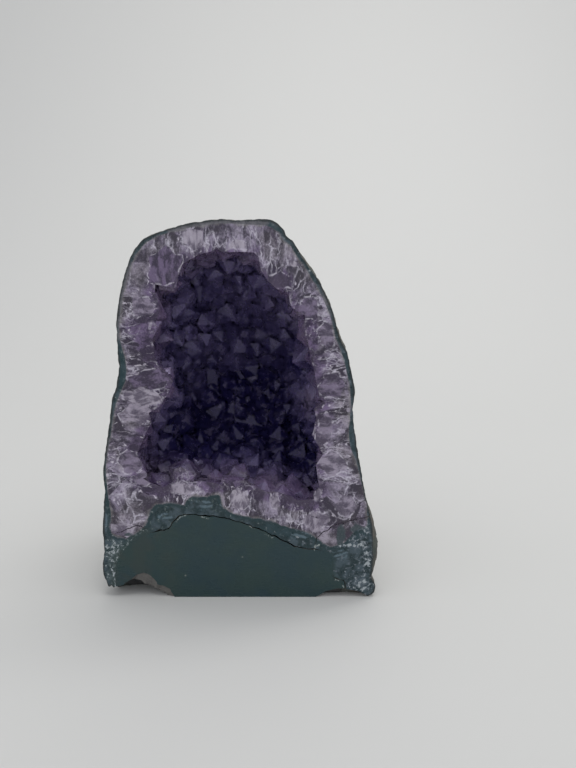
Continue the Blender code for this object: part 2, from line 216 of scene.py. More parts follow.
def rough_noise(points, *waves):
    """The sum of smooth noises, each given by its size, width and seed."""
    return sum(size * smooth_noise(points, width, seed) for size, width, seed in waves)


def edge_noise(line, *waves):
    """The same sum along a line drawn on the face."""
    return rough_noise(np.insert(line, 1, 0.0, axis=1), *waves)


def step(value, low, high):
    """0 below low, 1 above high, and 3t^2 - 2t^3 between them."""
    t = np.clip((value - low) / (high - low), 0, 1)
    return t * t * (3 - 2 * t)


def refined(grid, count, axis, closed):
    """The grid taken to count places along an axis by a Catmull-Rom curve through its values."""
    size = grid.shape[axis]
    place = np.arange(count) * size / count if closed else np.linspace(0, size - 1, count)
    whole = np.minimum(np.floor(place).astype(int), size - 1)
    t = (place - whole).reshape([-1 if k == axis else 1 for k in range(grid.ndim)])
    steps = [whole + k for k in (-1, 0, 1, 2)]
    a, b, c, d = (np.take(grid, s % size if closed else np.clip(s, 0, size - 1), axis=axis) for s in steps)
    return 0.5 * (2 * b + (c - a) * t + (2 * a - 5 * b + 4 * c - d) * t**2 + (3 * b - a - 3 * c + d) * t**3)


def unit(vectors):
    """The vectors, each at length 1."""
    return vectors / np.linalg.norm(vectors, axis=-1, keepdims=True)


def across(ways):
    """The unit vectors on the face a quarter turn to the left of these ones."""
    return unit(np.column_stack([-ways[:, 1], ways[:, 0]]))


def moved_out(loop, distance):
    """The loop moved outwards along its own normals."""
    return loop + np.asarray(distance).reshape(-1, 1) * across(np.roll(loop, -1, 0) - np.roll(loop, 1, 0))


def solid(name, points, faces):
    """An object with these points in millimetres, its faces turned outwards."""
    data = bpy.data.meshes.new(name)
    data.from_pydata((np.asarray(points) * MM).tolist(), [], faces)
    mesh = bmesh.new()
    mesh.from_mesh(data)
    bmesh.ops.recalc_face_normals(mesh, faces=mesh.faces)
    mesh.to_mesh(data)
    mesh.free()
    return placed(name, data)


def lofted(name, rings, tip=None):
    """A closed body through a grid of rings: row by row round it, a flat cap on its first ring, and a flat cap or
    a tip on its last."""
    index = np.arange(rings[..., 0].size).reshape(rings.shape[:2])
    faces = quads(np.pad(index, ((0, 0), (0, 1)), "wrap")).tolist() + [index[0].tolist()]
    points = rings.reshape(-1, 3)
    if tip is None:
        faces.append(index[-1].tolist())
    else:
        points = np.vstack([points, [tip]])
        last = index[-1]
        faces += np.stack([last, np.roll(last, -1), np.full(len(last), len(points) - 1)], axis=-1).tolist()
    return solid(name, points, faces)


def settle(target):
    """Replaces the target's mesh by what its modifiers make of it."""
    bpy.context.view_layer.update()
    graph = bpy.context.evaluated_depsgraph_get()
    old = target.data
    target.data = bpy.data.meshes.new_from_object(target.evaluated_get(graph))
    target.modifiers.clear()
    bpy.data.meshes.remove(old)


def cut(target, cutters, solver="MANIFOLD"):
    """Takes each cutter in turn out of the target's mesh."""
    for cutter in cutters:
        modifier = target.modifiers.new("cut", "BOOLEAN")
        modifier.operation, modifier.solver, modifier.object = "DIFFERENCE", solver, cutter
    settle(target)


def saw_block():
    """The block in front of the face. Its back is a fine grid of square cells, so that what it cuts carries them."""
    x = np.arange(-SAW_WIDTH, SAW_WIDTH + 0.01, SAW_CELL)
    z = np.arange(SAW_FOOT, SAW_TOP + 0.01, SAW_CELL)
    grid = np.stack(np.broadcast_arrays(x[None, :], FACE_Y, z[:, None]), axis=-1)
    index = np.arange(grid[..., 0].size).reshape(grid.shape[:2])
    edge = np.concatenate([index[0, :-1], index[:-1, -1], index[-1, :0:-1], index[:0:-1, 0]])
    points = grid.reshape(-1, 3)
    front = points[edge] - [0, SAW_AHEAD, 0]
    ahead = len(points) + np.arange(len(edge))
    sides = np.stack([edge, ahead, np.roll(ahead, -1), np.roll(edge, -1)], axis=-1)
    return solid("saw", np.vstack([points, front]), quads(index).tolist() + sides.tolist() + [ahead.tolist()])


def base_rings(crack, foot):
    """Rings of the lens: its jagged outline on the face, narrowed and lowered evenly to the back. The seat that it
    stands in is the same, grown by the crack where that is open and by almost nothing where it has closed up."""
    loop = refined(np.array(BASE_EDGE, float), LENS_POINTS, 0, False)
    arch = step(loop[:, 0], *ARCH_LEFT) * step(loop[:, 0], *ARCH_RIGHT) * step(loop[:, 1], *ARCH_FOOT)
    corner = step(loop[:, 0], *CORNER_LEFT) * step(loop[:, 1], *CORNER_TOP)
    opened = np.maximum(arch, corner)
    ragged = edge_noise(loop, (0.5, 4.5, 41), (0.5, 1.7, 42), (0.3, 11, 43)) * (0.3 + 0.7 * opened)
    gape = CRACK_CLOSED + opened * crack * (1.0 + edge_noise(loop, (0.75, 7, 44), (0.3, 1.5, 45)))
    loop = moved_out(loop, np.where(loop[:, 1] > 0, ragged, 0) + (gape if crack else 0))
    loop[[0, -1], 1] = foot
    share = np.linspace(0, 1, LENS_RINGS)[:, None]
    narrow = 1 + (BASE_TAPER[0] - 1) * share
    low = 1 + (BASE_TAPER[1] - 1) * share
    x = BASE_MIDDLE + (loop[:, 0] - BASE_MIDDLE) * narrow
    z = np.where(loop[:, 1] > 0, loop[:, 1] * low, loop[:, 1])
    y = np.broadcast_to(FACE_Y + (BASE_DEPTH + crack) * share, x.shape)
    rings = np.stack([x, y, z], axis=-1)
    return np.concatenate([rings[:1] - [0, LENS_AHEAD, 0], rings])


def chip_bodies():
    """The scoops that broke from the foot: spheres stretched along each axis, with a rough skin."""
    made = []
    for (x, z), half in CHIPS:
        high, turn = np.meshgrid(np.linspace(-90, 90, 62)[1:-1], np.arange(0, 360, 4), indexing="ij")
        high, turn = np.radians(high), np.radians(turn)
        way = np.stack([np.cos(high) * np.cos(turn), np.cos(high) * np.sin(turn), np.sin(high)], axis=-1)
        skin = way * np.array(half, float)
        grain = rough_noise(skin, (0.9, 9, 3), (0.45, 3.5, 4), (0.2, 1.5, 5))
        skin = skin + way * grain[..., None] + [x, FACE_Y, z]
        made.append(lofted("chip", skin))
    return made


saw = saw_block()
chips = chip_bodies()
basalt = lofted("basalt_lens", base_rings(0.0, 0.0))
cut(basalt, [saw, *chips])


def vectors_of(items, name):
    """One vector, such as the place, of each of a mesh's items."""
    flat = np.empty(len(items) * 3, np.float32)
    items.foreach_get(name, flat)
    return flat.reshape(-1, 3).astype(float)


def points_of(target):
    """The places of the target's points, in millimetres."""
    return vectors_of(target.data.vertices, "co") / MM


def faces_of(target):
    """The middles in millimetres and the normals of the target's faces."""
    return vectors_of(target.data.polygons, "center") / MM, vectors_of(target.data.polygons, "normal")


def on_plane(faces, axis, place):
    """Which of the faces, given as middles and normals, lie on the plane at this place and look back along its axis."""
    middles, normals = faces
    return (middles[:, axis] < place + ON_PLANE) & (normals[:, axis] < -0.9)


def finished(target, rough, polished, is_polished, node, smooth=True):
    """Gives the target its two finishes, moves its mesh into the frame and hands it to the body that it rides."""
    target.data.materials.clear()
    for material in (rough, polished):
        target.data.materials.append(material)
    target.data.polygons.foreach_set("material_index", is_polished.astype(np.int32))
    target.data.polygons.foreach_set("use_smooth", ~is_polished if smooth else np.zeros(len(is_polished), bool))
    moved = (points_of(target) + SHIFT) * MM
    target.data.vertices.foreach_set("co", moved.astype(np.float32).ravel())
    target.data.update()
    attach(target, "root")
    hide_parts(node)


class Paint:
    """Builds one material's nodes. Every value may be a number, a colour or another node's output."""

    def __init__(self, name):
        self.material = bpy.data.materials.new(name)
        self.material.use_nodes = True
        self.nodes, self.links = self.material.node_tree.nodes, self.material.node_tree.links
        self.shader = self.nodes["Principled BSDF"]
        self.place = self.vector("MULTIPLY", self.nodes.new("ShaderNodeTexCoord").outputs["Object"], 1 / MM)

    def axis(self, number):
        """Millimetres along x, y or z."""
        made = self.nodes.new("ShaderNodeSeparateXYZ")
        self.put(made.inputs[0], self.place)
        return made.outputs[number]

    def put(self, socket, value):
        """Links a node's output to the socket, or sets the socket to a number or a colour."""
        if isinstance(value, bpy.types.NodeSocket):
            self.links.new(value, socket)
        elif hasattr(socket.default_value, "__len__"):
            size = len(socket.default_value)
            value = tuple(value) if hasattr(value, "__len__") else (value,) * size
            socket.default_value = (*value, 1)[:size]
        else:
            socket.default_value = value

    def node(self, kind, operation, values):
        """A node of this kind and operation with these values in its first sockets."""
        made = self.nodes.new(kind)
        made.operation = operation
        for socket, value in zip(made.inputs, values):
            self.put(socket, value)
        return made.outputs[0]

    def maths(self, operation, *values):
        return self.node("ShaderNodeMath", operation, values)

    def vector(self, operation, *values):
        return self.node("ShaderNodeVectorMath", operation, values)

    def times(self, *values):
        """The first value times the second, plus the third where there is one."""
        return self.maths("MULTIPLY_ADD" if len(values) == 3 else "MULTIPLY", *values)

    def stored(self, name, output="Fac"):
        """What the mesh keeps under this name."""
        made = self.nodes.new("ShaderNodeAttribute")
        made.attribute_name = name
        return made.outputs[output]

    def noise(self, width, place=None, detail=4.0, rough=0.55, output="Fac"):
        """Smooth noise about 0.5, its lumps as wide as width, with finer ones of detail octaves on them."""
        made = self.nodes.new("ShaderNodeTexNoise")
        values = {"Vector": place or self.place, "Scale": 1 / width, "Detail": detail, "Roughness": rough}
        for name, value in values.items():
            self.put(made.inputs[name], value)
        return made.outputs[output]

    def cells(self, width, place=None, feature="F1", output="Distance"):
        """Irregular cells of this width: the distance to a cell's middle or edge, or its own random colour."""
        made = self.nodes.new("ShaderNodeTexVoronoi")
        made.feature = feature
        self.put(made.inputs["Vector"], place or self.place)
        self.put(made.inputs["Scale"], 1 / width)
        return made.outputs[output]

    def warped(self, place, width, size):
        """The place moved about by up to half the size, smoothly over the width."""
        wave = self.vector("SUBTRACT", self.noise(width, place, 2.0, output="Color"), 0.5)
        return self.vector("ADD", place, self.vector("MULTIPLY", wave, size))

    def step(self, value, low, high, to_low=0.0, to_high=1.0):
        """A smooth step of the value between two places."""
        made = self.nodes.new("ShaderNodeMapRange")
        made.interpolation_type = "SMOOTHSTEP"
        for socket, number in zip(made.inputs, (value, low, high, to_low, to_high)):
            self.put(socket, number)
        return made.outputs["Result"]

    def fringed(self, name, wave, amount, *limits):
        """A step of what the mesh keeps under this name, its edge made ragged by an amount of the wave."""
        return self.step(self.times(wave, amount, self.stored(name)), *limits)

    def mix(self, share, first, second):
        """The first colour where the share is 0, the second where it is 1."""
        made = self.nodes.new("ShaderNodeMix")
        made.data_type = "RGBA"
        self.put(made.inputs[0], share)
        for socket, value in zip([s for s in made.inputs if s.type == "RGBA"], (first, second)):
            self.put(socket, value)
        return [s for s in made.outputs if s.type == "RGBA"][0]

    def bump(self, height, size, strength=1.0, under=None):
        """Normals as if the height, 0 to 1, stood out by the size in millimetres."""
        made = self.nodes.new("ShaderNodeBump")
        for name, value in (("Height", height), ("Distance", size * MM), ("Strength", strength)):
            self.put(made.inputs[name], value)
        if under is not None:
            self.put(made.inputs["Normal"], under)
        return made.outputs["Normal"]

    def finish(self, **values):
        """Sets the shader's own sockets, named with underscores for spaces."""
        sockets = {socket.name.lower().replace(" ", "_"): socket for socket in self.shader.inputs}
        for name, value in values.items():
            self.put(sockets[name], value)
        return self.material


def basalt_colour(p):
    """Dark green rock with faint bluish and olive clouds, greyer near the left chip, pale dust in its pores and a few
    pale grains."""
    cloud, fine = p.noise(17.0, None, 5.0, 0.55), p.noise(0.7, None, 5.0, 0.7)
    colour = p.mix(p.step(cloud, 0.35, 0.65), (0.0195, 0.0445, 0.0525), (0.024, 0.049, 0.048))
    colour = p.mix(p.step(fine, 0.5, 0.75, 0.0, 0.3), colour, (0.054, 0.085, 0.085))
    left = p.step(p.axis(0), SHIFT[0] - 28, SHIFT[0] - 52, 0.0, 0.5)
    haze = p.times(left, p.step(p.noise(9.0, p.vector("ADD", p.place, 15.0), 5.0), 0.40, 0.58))
    colour = p.mix(haze, colour, (0.038, 0.051, 0.046))
    grain = p.times(p.step(p.cells(6.5), 0.10, 0.05), p.step(p.noise(7.0), 0.5, 0.58))
    return p.mix(p.times(grain, 0.8), colour, (0.22, 0.24, 0.22))


def with_bruises(p, colour, pale):
    """The colour with the pale, ragged bruises along the stone's edges laid over it."""
    bruised = p.step(p.times(p.noise(1.0, None, 5.0, 0.7), 3.0, p.stored("bruise")), 2.15, 2.6)
    return p.mix(p.times(bruised, 0.85), colour, pale)


def polished_basalt():
    """Polished basalt, its gloss crossed by hairline marks of the polishing wheel, and bruised pale along the crack."""
    p = Paint("polished_basalt")
    colour = with_bruises(p, basalt_colour(p), (0.32, 0.35, 0.34))
    long = p.vector("MULTIPLY", p.warped(p.place, 30.0, 6.0), (0.06, 1, 1.6))
    rough = p.maths("ADD", p.noise(12.0), p.step(p.noise(0.5, long, 3.0), 0.5, 0.75, 0.0, 0.4))
    rough = p.step(rough, 0.3, 1.1, 0.24, 0.46)
    skin = p.bump(p.noise(0.7, None, 4.0, 0.7), 0.03, 0.4)
    return p.finish(base_color=colour, roughness=rough, normal=skin, ior=1.5, specular_ior_level=0.35)


def broken_basalt():
    """Fresh broken rock in the chips: dull grey at the front, and darker further in as painted shade."""
    p = Paint("broken_basalt")
    large, fine = p.noise(6.0, None, 5.0, 0.6), p.noise(0.8, None, 6.0, 0.72)
    colour = p.mix(p.step(large, 0.35, 0.62), (0.075, 0.071, 0.068), (0.140, 0.134, 0.126))
    colour = p.mix(p.step(fine, 0.5, 0.78, 0.0, 0.5), colour, (0.20, 0.19, 0.18))
    # Painted shade: the chip's rock turns dark more than 1.8 mm behind the face, where the recess lies in shadow.
    front = FACE_Y + SHIFT[1]
    colour = p.mix(p.step(p.axis(1), front + 1.8, front + 4.5, 0.0, 0.85), colour, (0.030, 0.032, 0.034))
    skin = p.bump(p.noise(2.0, None, 7.0, 0.7), 0.5, 0.8)
    return p.finish(base_color=colour, roughness=0.85, normal=p.bump(fine, 0.25, 0.7, skin))


def store(target, name, values, domain="POINT"):
    """Keeps one number, or one vector, for each point or corner of the target's mesh."""
    kind = "FLOAT" if values.ndim == 1 else "FLOAT_VECTOR"
    layer = target.data.attributes.new(name, kind, domain)
    layer.data.foreach_set("value" if kind == "FLOAT" else "vector", values.astype(np.float32).ravel())


def nearest(line, points):
    """For each point its distance, in the plane of the face, to the nearest point of the line."""
    parts = np.array_split(points, 40)
    return np.concatenate([np.linalg.norm(line[None] - part[:, None, ::2], axis=-1).min(1) for part in parts])


def bruises(points):
    """How near each point is to one of the pale lines where the stone's edge flaked."""
    lines = [refined(np.array(line, float), 40, 0, False) for line in BRUISES]
    return np.exp(-((nearest(np.concatenate(lines), points) / BRUISE_WIDTH) ** 2))


store(basalt, "bruise", bruises(points_of(basalt)))
faces = faces_of(basalt)
sawn = on_plane(faces, 1, FACE_Y) | on_plane(faces, 2, 0.0) | (faces[0][:, 1] > FACE_Y + BASE_DEPTH - 0.1)
finished(basalt, broken_basalt(), polished_basalt(), sawn, "base_rock")

# Rind
# The rough shell of altered basalt and green-blue agate that the crystals grew on, one piece with both feet. Only its
# sawn edge and feet are polished; the outside is as it came out of the ground.

STONE_DEPTH = 104.0
HOLLOW_DEPTH = 90.0
WALL_DEPTH = 79.0
BODY_FULLNESS = 0.52
HOLLOW_FULLNESS = 0.66
OVAL_FROM = 0.6
BODY_POLE = (-2, 90)
HOLLOW_POLE = (-1, 100)
LUMPS = [(3.0, 23.0), (1.7, 10.0)]
LUMPS_OUT = 0.9
POLE_CALM = 45.0
LEDGE_OUT = 3.4
LEDGE_HEIGHT = 29.0
LEDGE_HALF_HEIGHT = 17.0
LEDGE_BACK = 9.0
FACE_EDGE = [
    (-71.5, 4.5), (-74.4, 5.9), (-75.3, 9.5), (-76.7, 15), (-76.4, 21), (-75.6, 30), (-74.9, 42), (-73.6, 58),
    (-72.8, 72), (-71.9, 80), (-70.5, 88), (-67.5, 102), (-66.0, 113), (-63.0, 121), (-61.2, 131), (-61.5, 142),
    (-62.0, 149), (-60.0, 160), (-58.7, 168), (-55.0, 180), (-51.5, 188), (-45.5, 195.5), (-38.0, 199), (-28.0, 202),
    (-11.0, 205), (2.0, 205), (17.5, 204.8), (23.8, 200.8), (25.5, 197), (29.0, 194.5), (32.5, 189), (38.0, 181.5),
    (44.0, 171.5), (49.0, 160), (53.5, 145), (57.3, 138), (59.0, 129), (61.0, 120), (61.2, 112), (61.8, 99),
    (63.6, 85), (66.6, 70), (69.4, 56), (71.8, 46), (73.2, 36), (73.6, 24), (73.2, 15), (73.0, 11.5), (74.9, 8.5),
    (75.4, 5.5), (74.2, 2.4), (71.5, 0.4), (66, -2),
]
BELOW_FLOOR = [(72, -25), (52, -55), (0, -68), (-52, -55), (-72, -25)]
CRUST_EDGE = [
    (-70.5, 39), (-70.5, 48), (-71.0, 60), (-71.4, 70), (-71.0, 79), (-69.0, 88), (-66.0, 102), (-64.0, 111),
    (-60.5, 119), (-57.5, 127), (-57.5, 135), (-59.4, 144), (-60.0, 150), (-58.3, 160), (-56.8, 168), (-53.5, 179),
    (-50.0, 187), (-44.5, 193.5), (-37.5, 197.2), (-28.0, 200), (-11.0, 203), (2.0, 203), (16.5, 202), (21.5, 199),
    (23.8, 195.3), (27.5, 192.5), (31.0, 187), (36.5, 179.5), (42.5, 169.5), (47.3, 159), (51.3, 145.5), (54.3, 138),
    (56.7, 129), (58.6, 120), (59.2, 112), (59.0, 104), (58.5, 96), (60.0, 87), (63.0, 79), (65.7, 69), (68.3, 58),
    (70.0, 48), (68.5, 43), (63.0, 39.5), (57.5, 33), (50.5, 31), (45.5, 33), (41.0, 37), (37.4, 38.6), (31.4, 40.9),
    (24.9, 42.4), (20.1, 45.0), (13.0, 47.1), (5.9, 47.5), (0.0, 49.2), (-5.8, 51.4), (-8.6, 54.9), (-9.9, 59.9),
    (-13.3, 61.2), (-18.6, 59.9), (-24.5, 60.4), (-28.4, 58.7), (-30.5, 55.4), (-34.2, 56.7), (-39.9, 56.2),
    (-44.9, 55.1), (-48.8, 52.0), (-50.8, 46.3), (-53.0, 42.0), (-57.5, 39.0), (-63.5, 36.0),
]
STONE_POINTS, STONE_RINGS, STONE_UNTIL = 560, 130, 89.6
COARSE_POINTS, COARSE_RINGS = 84, 13
RELIEF_IN, RELIEF_OUT, RELIEF_GROWTH = 0.7, 0.25, 0.05
BOX_MARGIN = 0.05
STONE_OUTLINE = FACE_EDGE + BELOW_FLOOR
STONE_MIDDLE = (BODY_POLE[0], FACE_Y + STONE_DEPTH * 0.35, BODY_POLE[1])
CRUST_POINTS, CRUST_RINGS = 420, 24
CRACK_DEPTH = 2.5
GROUND = ((-120, 120), (-90, 90), (-90, 0))
FINER = 12
CRACKS = [
    ([(42, 32), (42.5, 35.5), (45, 38.5), (48.5, 41), (52, 43.5), (55, 44.5), (61, 46), (66, 47.5), (74, 49)], 0.36),
    ([(-69, 38.5), (-64, 40), (-60, 41.8), (-55, 42.8), (-51.5, 41)], 0.26),
]


def lengths(line):
    """How far along the line each of its points is."""
    return np.concatenate([[0], np.cumsum(np.linalg.norm(np.diff(line, axis=0), axis=1))])


def evenly(loop, count):
    """Evenly spaced places along the straight runs between a closed loop's points."""
    loop = np.vstack([loop, loop[:1]])
    along = lengths(loop)
    places = np.linspace(0, along[-1], count, endpoint=False)
    return np.column_stack([np.interp(places, along, loop[:, k]) for k in (0, 1)])


def closed_curve(points, count):
    """A closed Catmull-Rom curve through the points, as count points evenly spaced along it."""
    fine = refined(np.array(points, float), len(points) * FINER, 0, True)
    start = np.argmin(np.abs(fine[:, 0]) + 0.5 * (fine[:, 1] - fine[:, 1].min()))
    return evenly(np.roll(fine, -start, 0), count)


def oval(loop):
    """The loop with only its three broadest waves kept."""
    waves = np.fft.fft(loop[:, 0] + 1j * loop[:, 1])
    waves[4:-3] = 0
    smooth = np.fft.ifft(waves)
    return np.column_stack([smooth.real, smooth.imag])


def bowl(loop, pole, depth, fullness, count, until=88.0):
    """Rings of a bowl behind the face, evenly spaced along its side. Each is the loop drawn in to the pole by a power
    of the cosine, at a depth given by the sine, and it turns to an oval as it deepens."""
    fine = np.linspace(0, math.radians(until), 400)
    side = 90.0 * np.column_stack([np.cos(fine) ** fullness, np.sin(fine)])
    along = lengths(side)
    angle = np.interp(np.linspace(0, along[-1], count), along, fine)[:, None, None]
    share = step(np.sin(angle), 0, OVAL_FROM)
    drawn = loop + (oval(loop) - loop) * share
    drawn = np.array(pole) + (drawn - pole) * np.cos(angle) ** fullness
    y = np.broadcast_to(FACE_Y + depth * np.sin(angle), drawn[..., :1].shape)
    return np.concatenate([drawn[..., :1], y, drawn[..., 1:]], axis=-1)


def with_reach(rings, reach, steps=1):
    """The rings with copies of the first one carried forward past the face."""
    ahead = [rings[:1] - [0, reach * (steps - k) / steps, 0] for k in range(steps)]
    return np.concatenate([*ahead, rings])


def bowl_body(name, loop, depth, count, reach):
    """A closed bowl about the hollow's pole, carried forward past the face by the reach."""
    rings = with_reach(bowl(loop, HOLLOW_POLE, depth, HOLLOW_FULLNESS, count), reach)
    return lofted(name, rings, (HOLLOW_POLE[0], FACE_Y + depth, HOLLOW_POLE[1]))


def big_lumps(rings):
    """How far the lumps push the coarse rings of the stone: sums of smooth noise along the way out from its middle,
    fading out at the sawn face."""
    middle = Vector(STONE_MIDDLE)
    moves = np.zeros(rings.shape)
    for place in np.ndindex(rings.shape[:2]):
        point = Vector(rings[place])
        back = point.y - FACE_Y
        lump = LUMPS_OUT + sum(size * noise.noise(point / width) for size, width in LUMPS)
        lump *= min(1.0, math.dist((point.x, point.z), BODY_POLE) / POLE_CALM)
        lump = min(lump, back * 0.03) if back < 30 else lump
        moves[place] = (point - middle).normalized() * lump
    return moves


def ledge(rings):
    """How far the ledge at the right foot stands out: a bell up the side, broken off short at its foot, that rises
    quickly behind the face and fades slowly."""
    high = (rings[..., 2] - LEDGE_HEIGHT) / LEDGE_HALF_HEIGHT
    deep = np.maximum(rings[..., 1] - FACE_Y, 0) / LEDGE_BACK
    bell = np.exp(-(high**2)) * deep * np.exp(1.2 * (1 - deep))
    return LEDGE_OUT * bell * (rings[..., 0] > 0) * step(rings[..., 2], 12.0, 14.5)


def relief(points):
    """Knobs with creases between them, in millimetres: the size of smooth noise without its sign, at two widths."""
    return 3.4 * np.abs(smooth_noise(points, 12, 7)) + 1.7 * np.abs(smooth_noise(points, 5, 8)) - 1.3


def grain(points):
    """The stone's finer roughness in millimetres, as smooth noise at two widths."""
    return rough_noise(points, (0.5, 3, 2), (0.3, 1.5, 6))


def stone_body():
    """The whole stone before it was hollowed: its rounded body, pushed out by lumps and knobs and in by creases."""
    coarse = bowl(closed_curve(STONE_OUTLINE, COARSE_POINTS), BODY_POLE, STONE_DEPTH, BODY_FULLNESS, COARSE_RINGS)
    moves = refined(refined(big_lumps(coarse), STONE_POINTS, 1, True), STONE_RINGS, 0, False)
    loop = closed_curve(STONE_OUTLINE, STONE_POINTS)
    rings = bowl(loop, BODY_POLE, STONE_DEPTH, BODY_FULLNESS, STONE_RINGS, STONE_UNTIL) + moves
    rings = with_reach(rings, 4.0, 5)
    out = unit(rings - np.array(STONE_MIDDLE))
    back = rings[..., 1] - FACE_Y
    move = relief(rings) * (0.25 + 0.75 * step(back, 1, 14)) + grain(rings)
    far = RELIEF_GROWTH * np.maximum(back, 0)
    rings = rings + out * np.clip(move, -RELIEF_IN - far, RELIEF_OUT + far)[..., None]
    rings[..., 0] += ledge(rings)
    low, high = (np.array(corner) / MM - SHIFT for corner in cad_box)
    rings = np.clip(rings, [low[0] + BOX_MARGIN, -np.inf, -np.inf], high - BOX_MARGIN)
    return lofted("rind_stone", rings, rings[-1].mean(0))


def blade(path, half_width):
    """A thin wedge along a ragged path on the face, which cuts a shallow crack of uneven width."""
    line = refined(np.array(path, float), len(path) * FINER, 0, False)
    line = line + np.column_stack([edge_noise(line, (0.7, 2.6, seed)) for seed in (31, 32)])
    normal = across(np.gradient(line, axis=0))
    ends = np.sin(np.linspace(0.02, math.pi - 0.02, len(line))) ** 0.5
    wide = (half_width * ends * (1 + edge_noise(line, (0.8, 4, 33))))[:, None]
    rings = []
    for ahead, share in ((-2, 1.0), (0, 1.0), (CRACK_DEPTH, 0.15)):
        loop = np.concatenate([line + share * wide * normal, (line - share * wide * normal)[::-1]])
        rings.append(np.insert(loop, 1, FACE_Y + ahead, axis=1))
    return lofted("blade", np.stack(rings))


crust_loop = closed_curve(CRUST_EDGE, CRUST_POINTS)
foot_part = step(crust_loop[:, 1], 66, 58)
ragged = edge_noise(crust_loop, (0.6, 7.5, 11), (0.7, 3.2, 12), (0.35, 1.6, 13))
crust_loop = moved_out(crust_loop, (0.3 + 0.7 * foot_part) * ragged)
crust_seat = bowl_body("crust_seat", crust_loop, HOLLOW_DEPTH, CRUST_RINGS, 9.0)
base_seat = lofted("base_seat", base_rings(CRACK, -3.0))
cracks = [blade(path, half_width) for path, half_width in CRACKS]
corners = np.stack(np.meshgrid(*GROUND, indexing="ij"), axis=-1).reshape(-1, 3)
sides = [[0, 1, 3, 2], [4, 6, 7, 5], [0, 4, 5, 1], [2, 3, 7, 6], [0, 2, 6, 4], [1, 5, 7, 3]]
ground = solid("ground", corners, sides)
rind = stone_body()
cut(rind, [saw, ground, crust_seat, base_seat, *chips, *cracks])


def spread(points, patches):
    """The sum of soft oval patches (x, z, half width, half height, strength) on the face, each falling off as e to
    the minus squared distance."""
    x, z = points[:, 0], points[:, 2]
    return sum(strength * np.exp(-(((x - mid_x) / wide) ** 2) - ((z - mid_z) / high) ** 2)
               for mid_x, mid_z, wide, high, strength in patches)


# Pale blue agate, white specks, dark agate and grey edge, where the real stone has them
BLUE = [
    (-41, 49, 4.5, 3.2, 1.2), (-73.5, 46, 2, 6, 1), (34, 37.3, 5.5, 1.7, 1.5), (-18, 55.5, 6, 3, 1.1),
    (56, 26, 5, 3.5, 1.3), (64, 47, 4, 2.5, 0.6), (61, 95, 2, 7, 0.6),
]
SPECKS = [
    (-72, 28, 4.5, 5, 0.9), (-71, 14, 4, 9, 0.8), (-65, 31, 6, 4, 0.6), (66, 32, 7, 3.5, 1.0), (71, 23, 3.5, 5, 0.85),
    (68, 6, 7, 5, 0.75), (57, 31.5, 6, 1.2, 0.9), (66, 13, 8, 9, 0.35), (68, 43, 5, 5, 1.1), (-30, 60, 9, 1.5, 0.4),
]
DARK = [
    (-46, 48, 6, 6, 0.5), (-73, 58, 3, 8, 0.9), (-68, 51.5, 3, 4, 1), (63, 39, 8, 5, 1), (-22, 53, 8, 3, 0.4),
    (19, 40, 13, 4, 1.1), (20, 203, 6, 4, 1), (60, 92, 3, 10, 0.7), (-60, 130, 3, 16, 0.9), (58, 140, 3, 20, 0.7),
]
GREY = [(-14, 204, 30, 6, 1.2), (-58, 168, 9, 20, 1.1), (46, 165, 8, 16, 0.5), (-70, 90, 4, 12, 0.5)]

spots = points_of(rind)
faces = faces_of(rind)
sawn = on_plane(faces, 1, FACE_Y) | on_plane(faces, 2, 0.0)
lens = refined(np.array(BASE_EDGE, float), 300, 0, False)
over_arch = step(spots[:, 0], -50, -46) * step(spots[:, 0], 46, 42)
inner = step(nearest(lens, spots) / np.where(spots[:, 0] > 0, 2.5, 6.0), 1.0, 0.1) * (1 - over_arch)
store(rind, "from_edge", nearest(closed_curve(STONE_OUTLINE, 500), spots))
store(rind, "from_crust", nearest(crust_loop, spots))
store(rind, "basalt_part", inner)
store(rind, "bruise", bruises(spots))
store(rind, "relief", relief(spots) + grain(spots))
for name, patches in (("blue", BLUE), ("specks", SPECKS), ("dark", DARK), ("grey", GREY)):
    store(rind, name, spread(spots, patches))


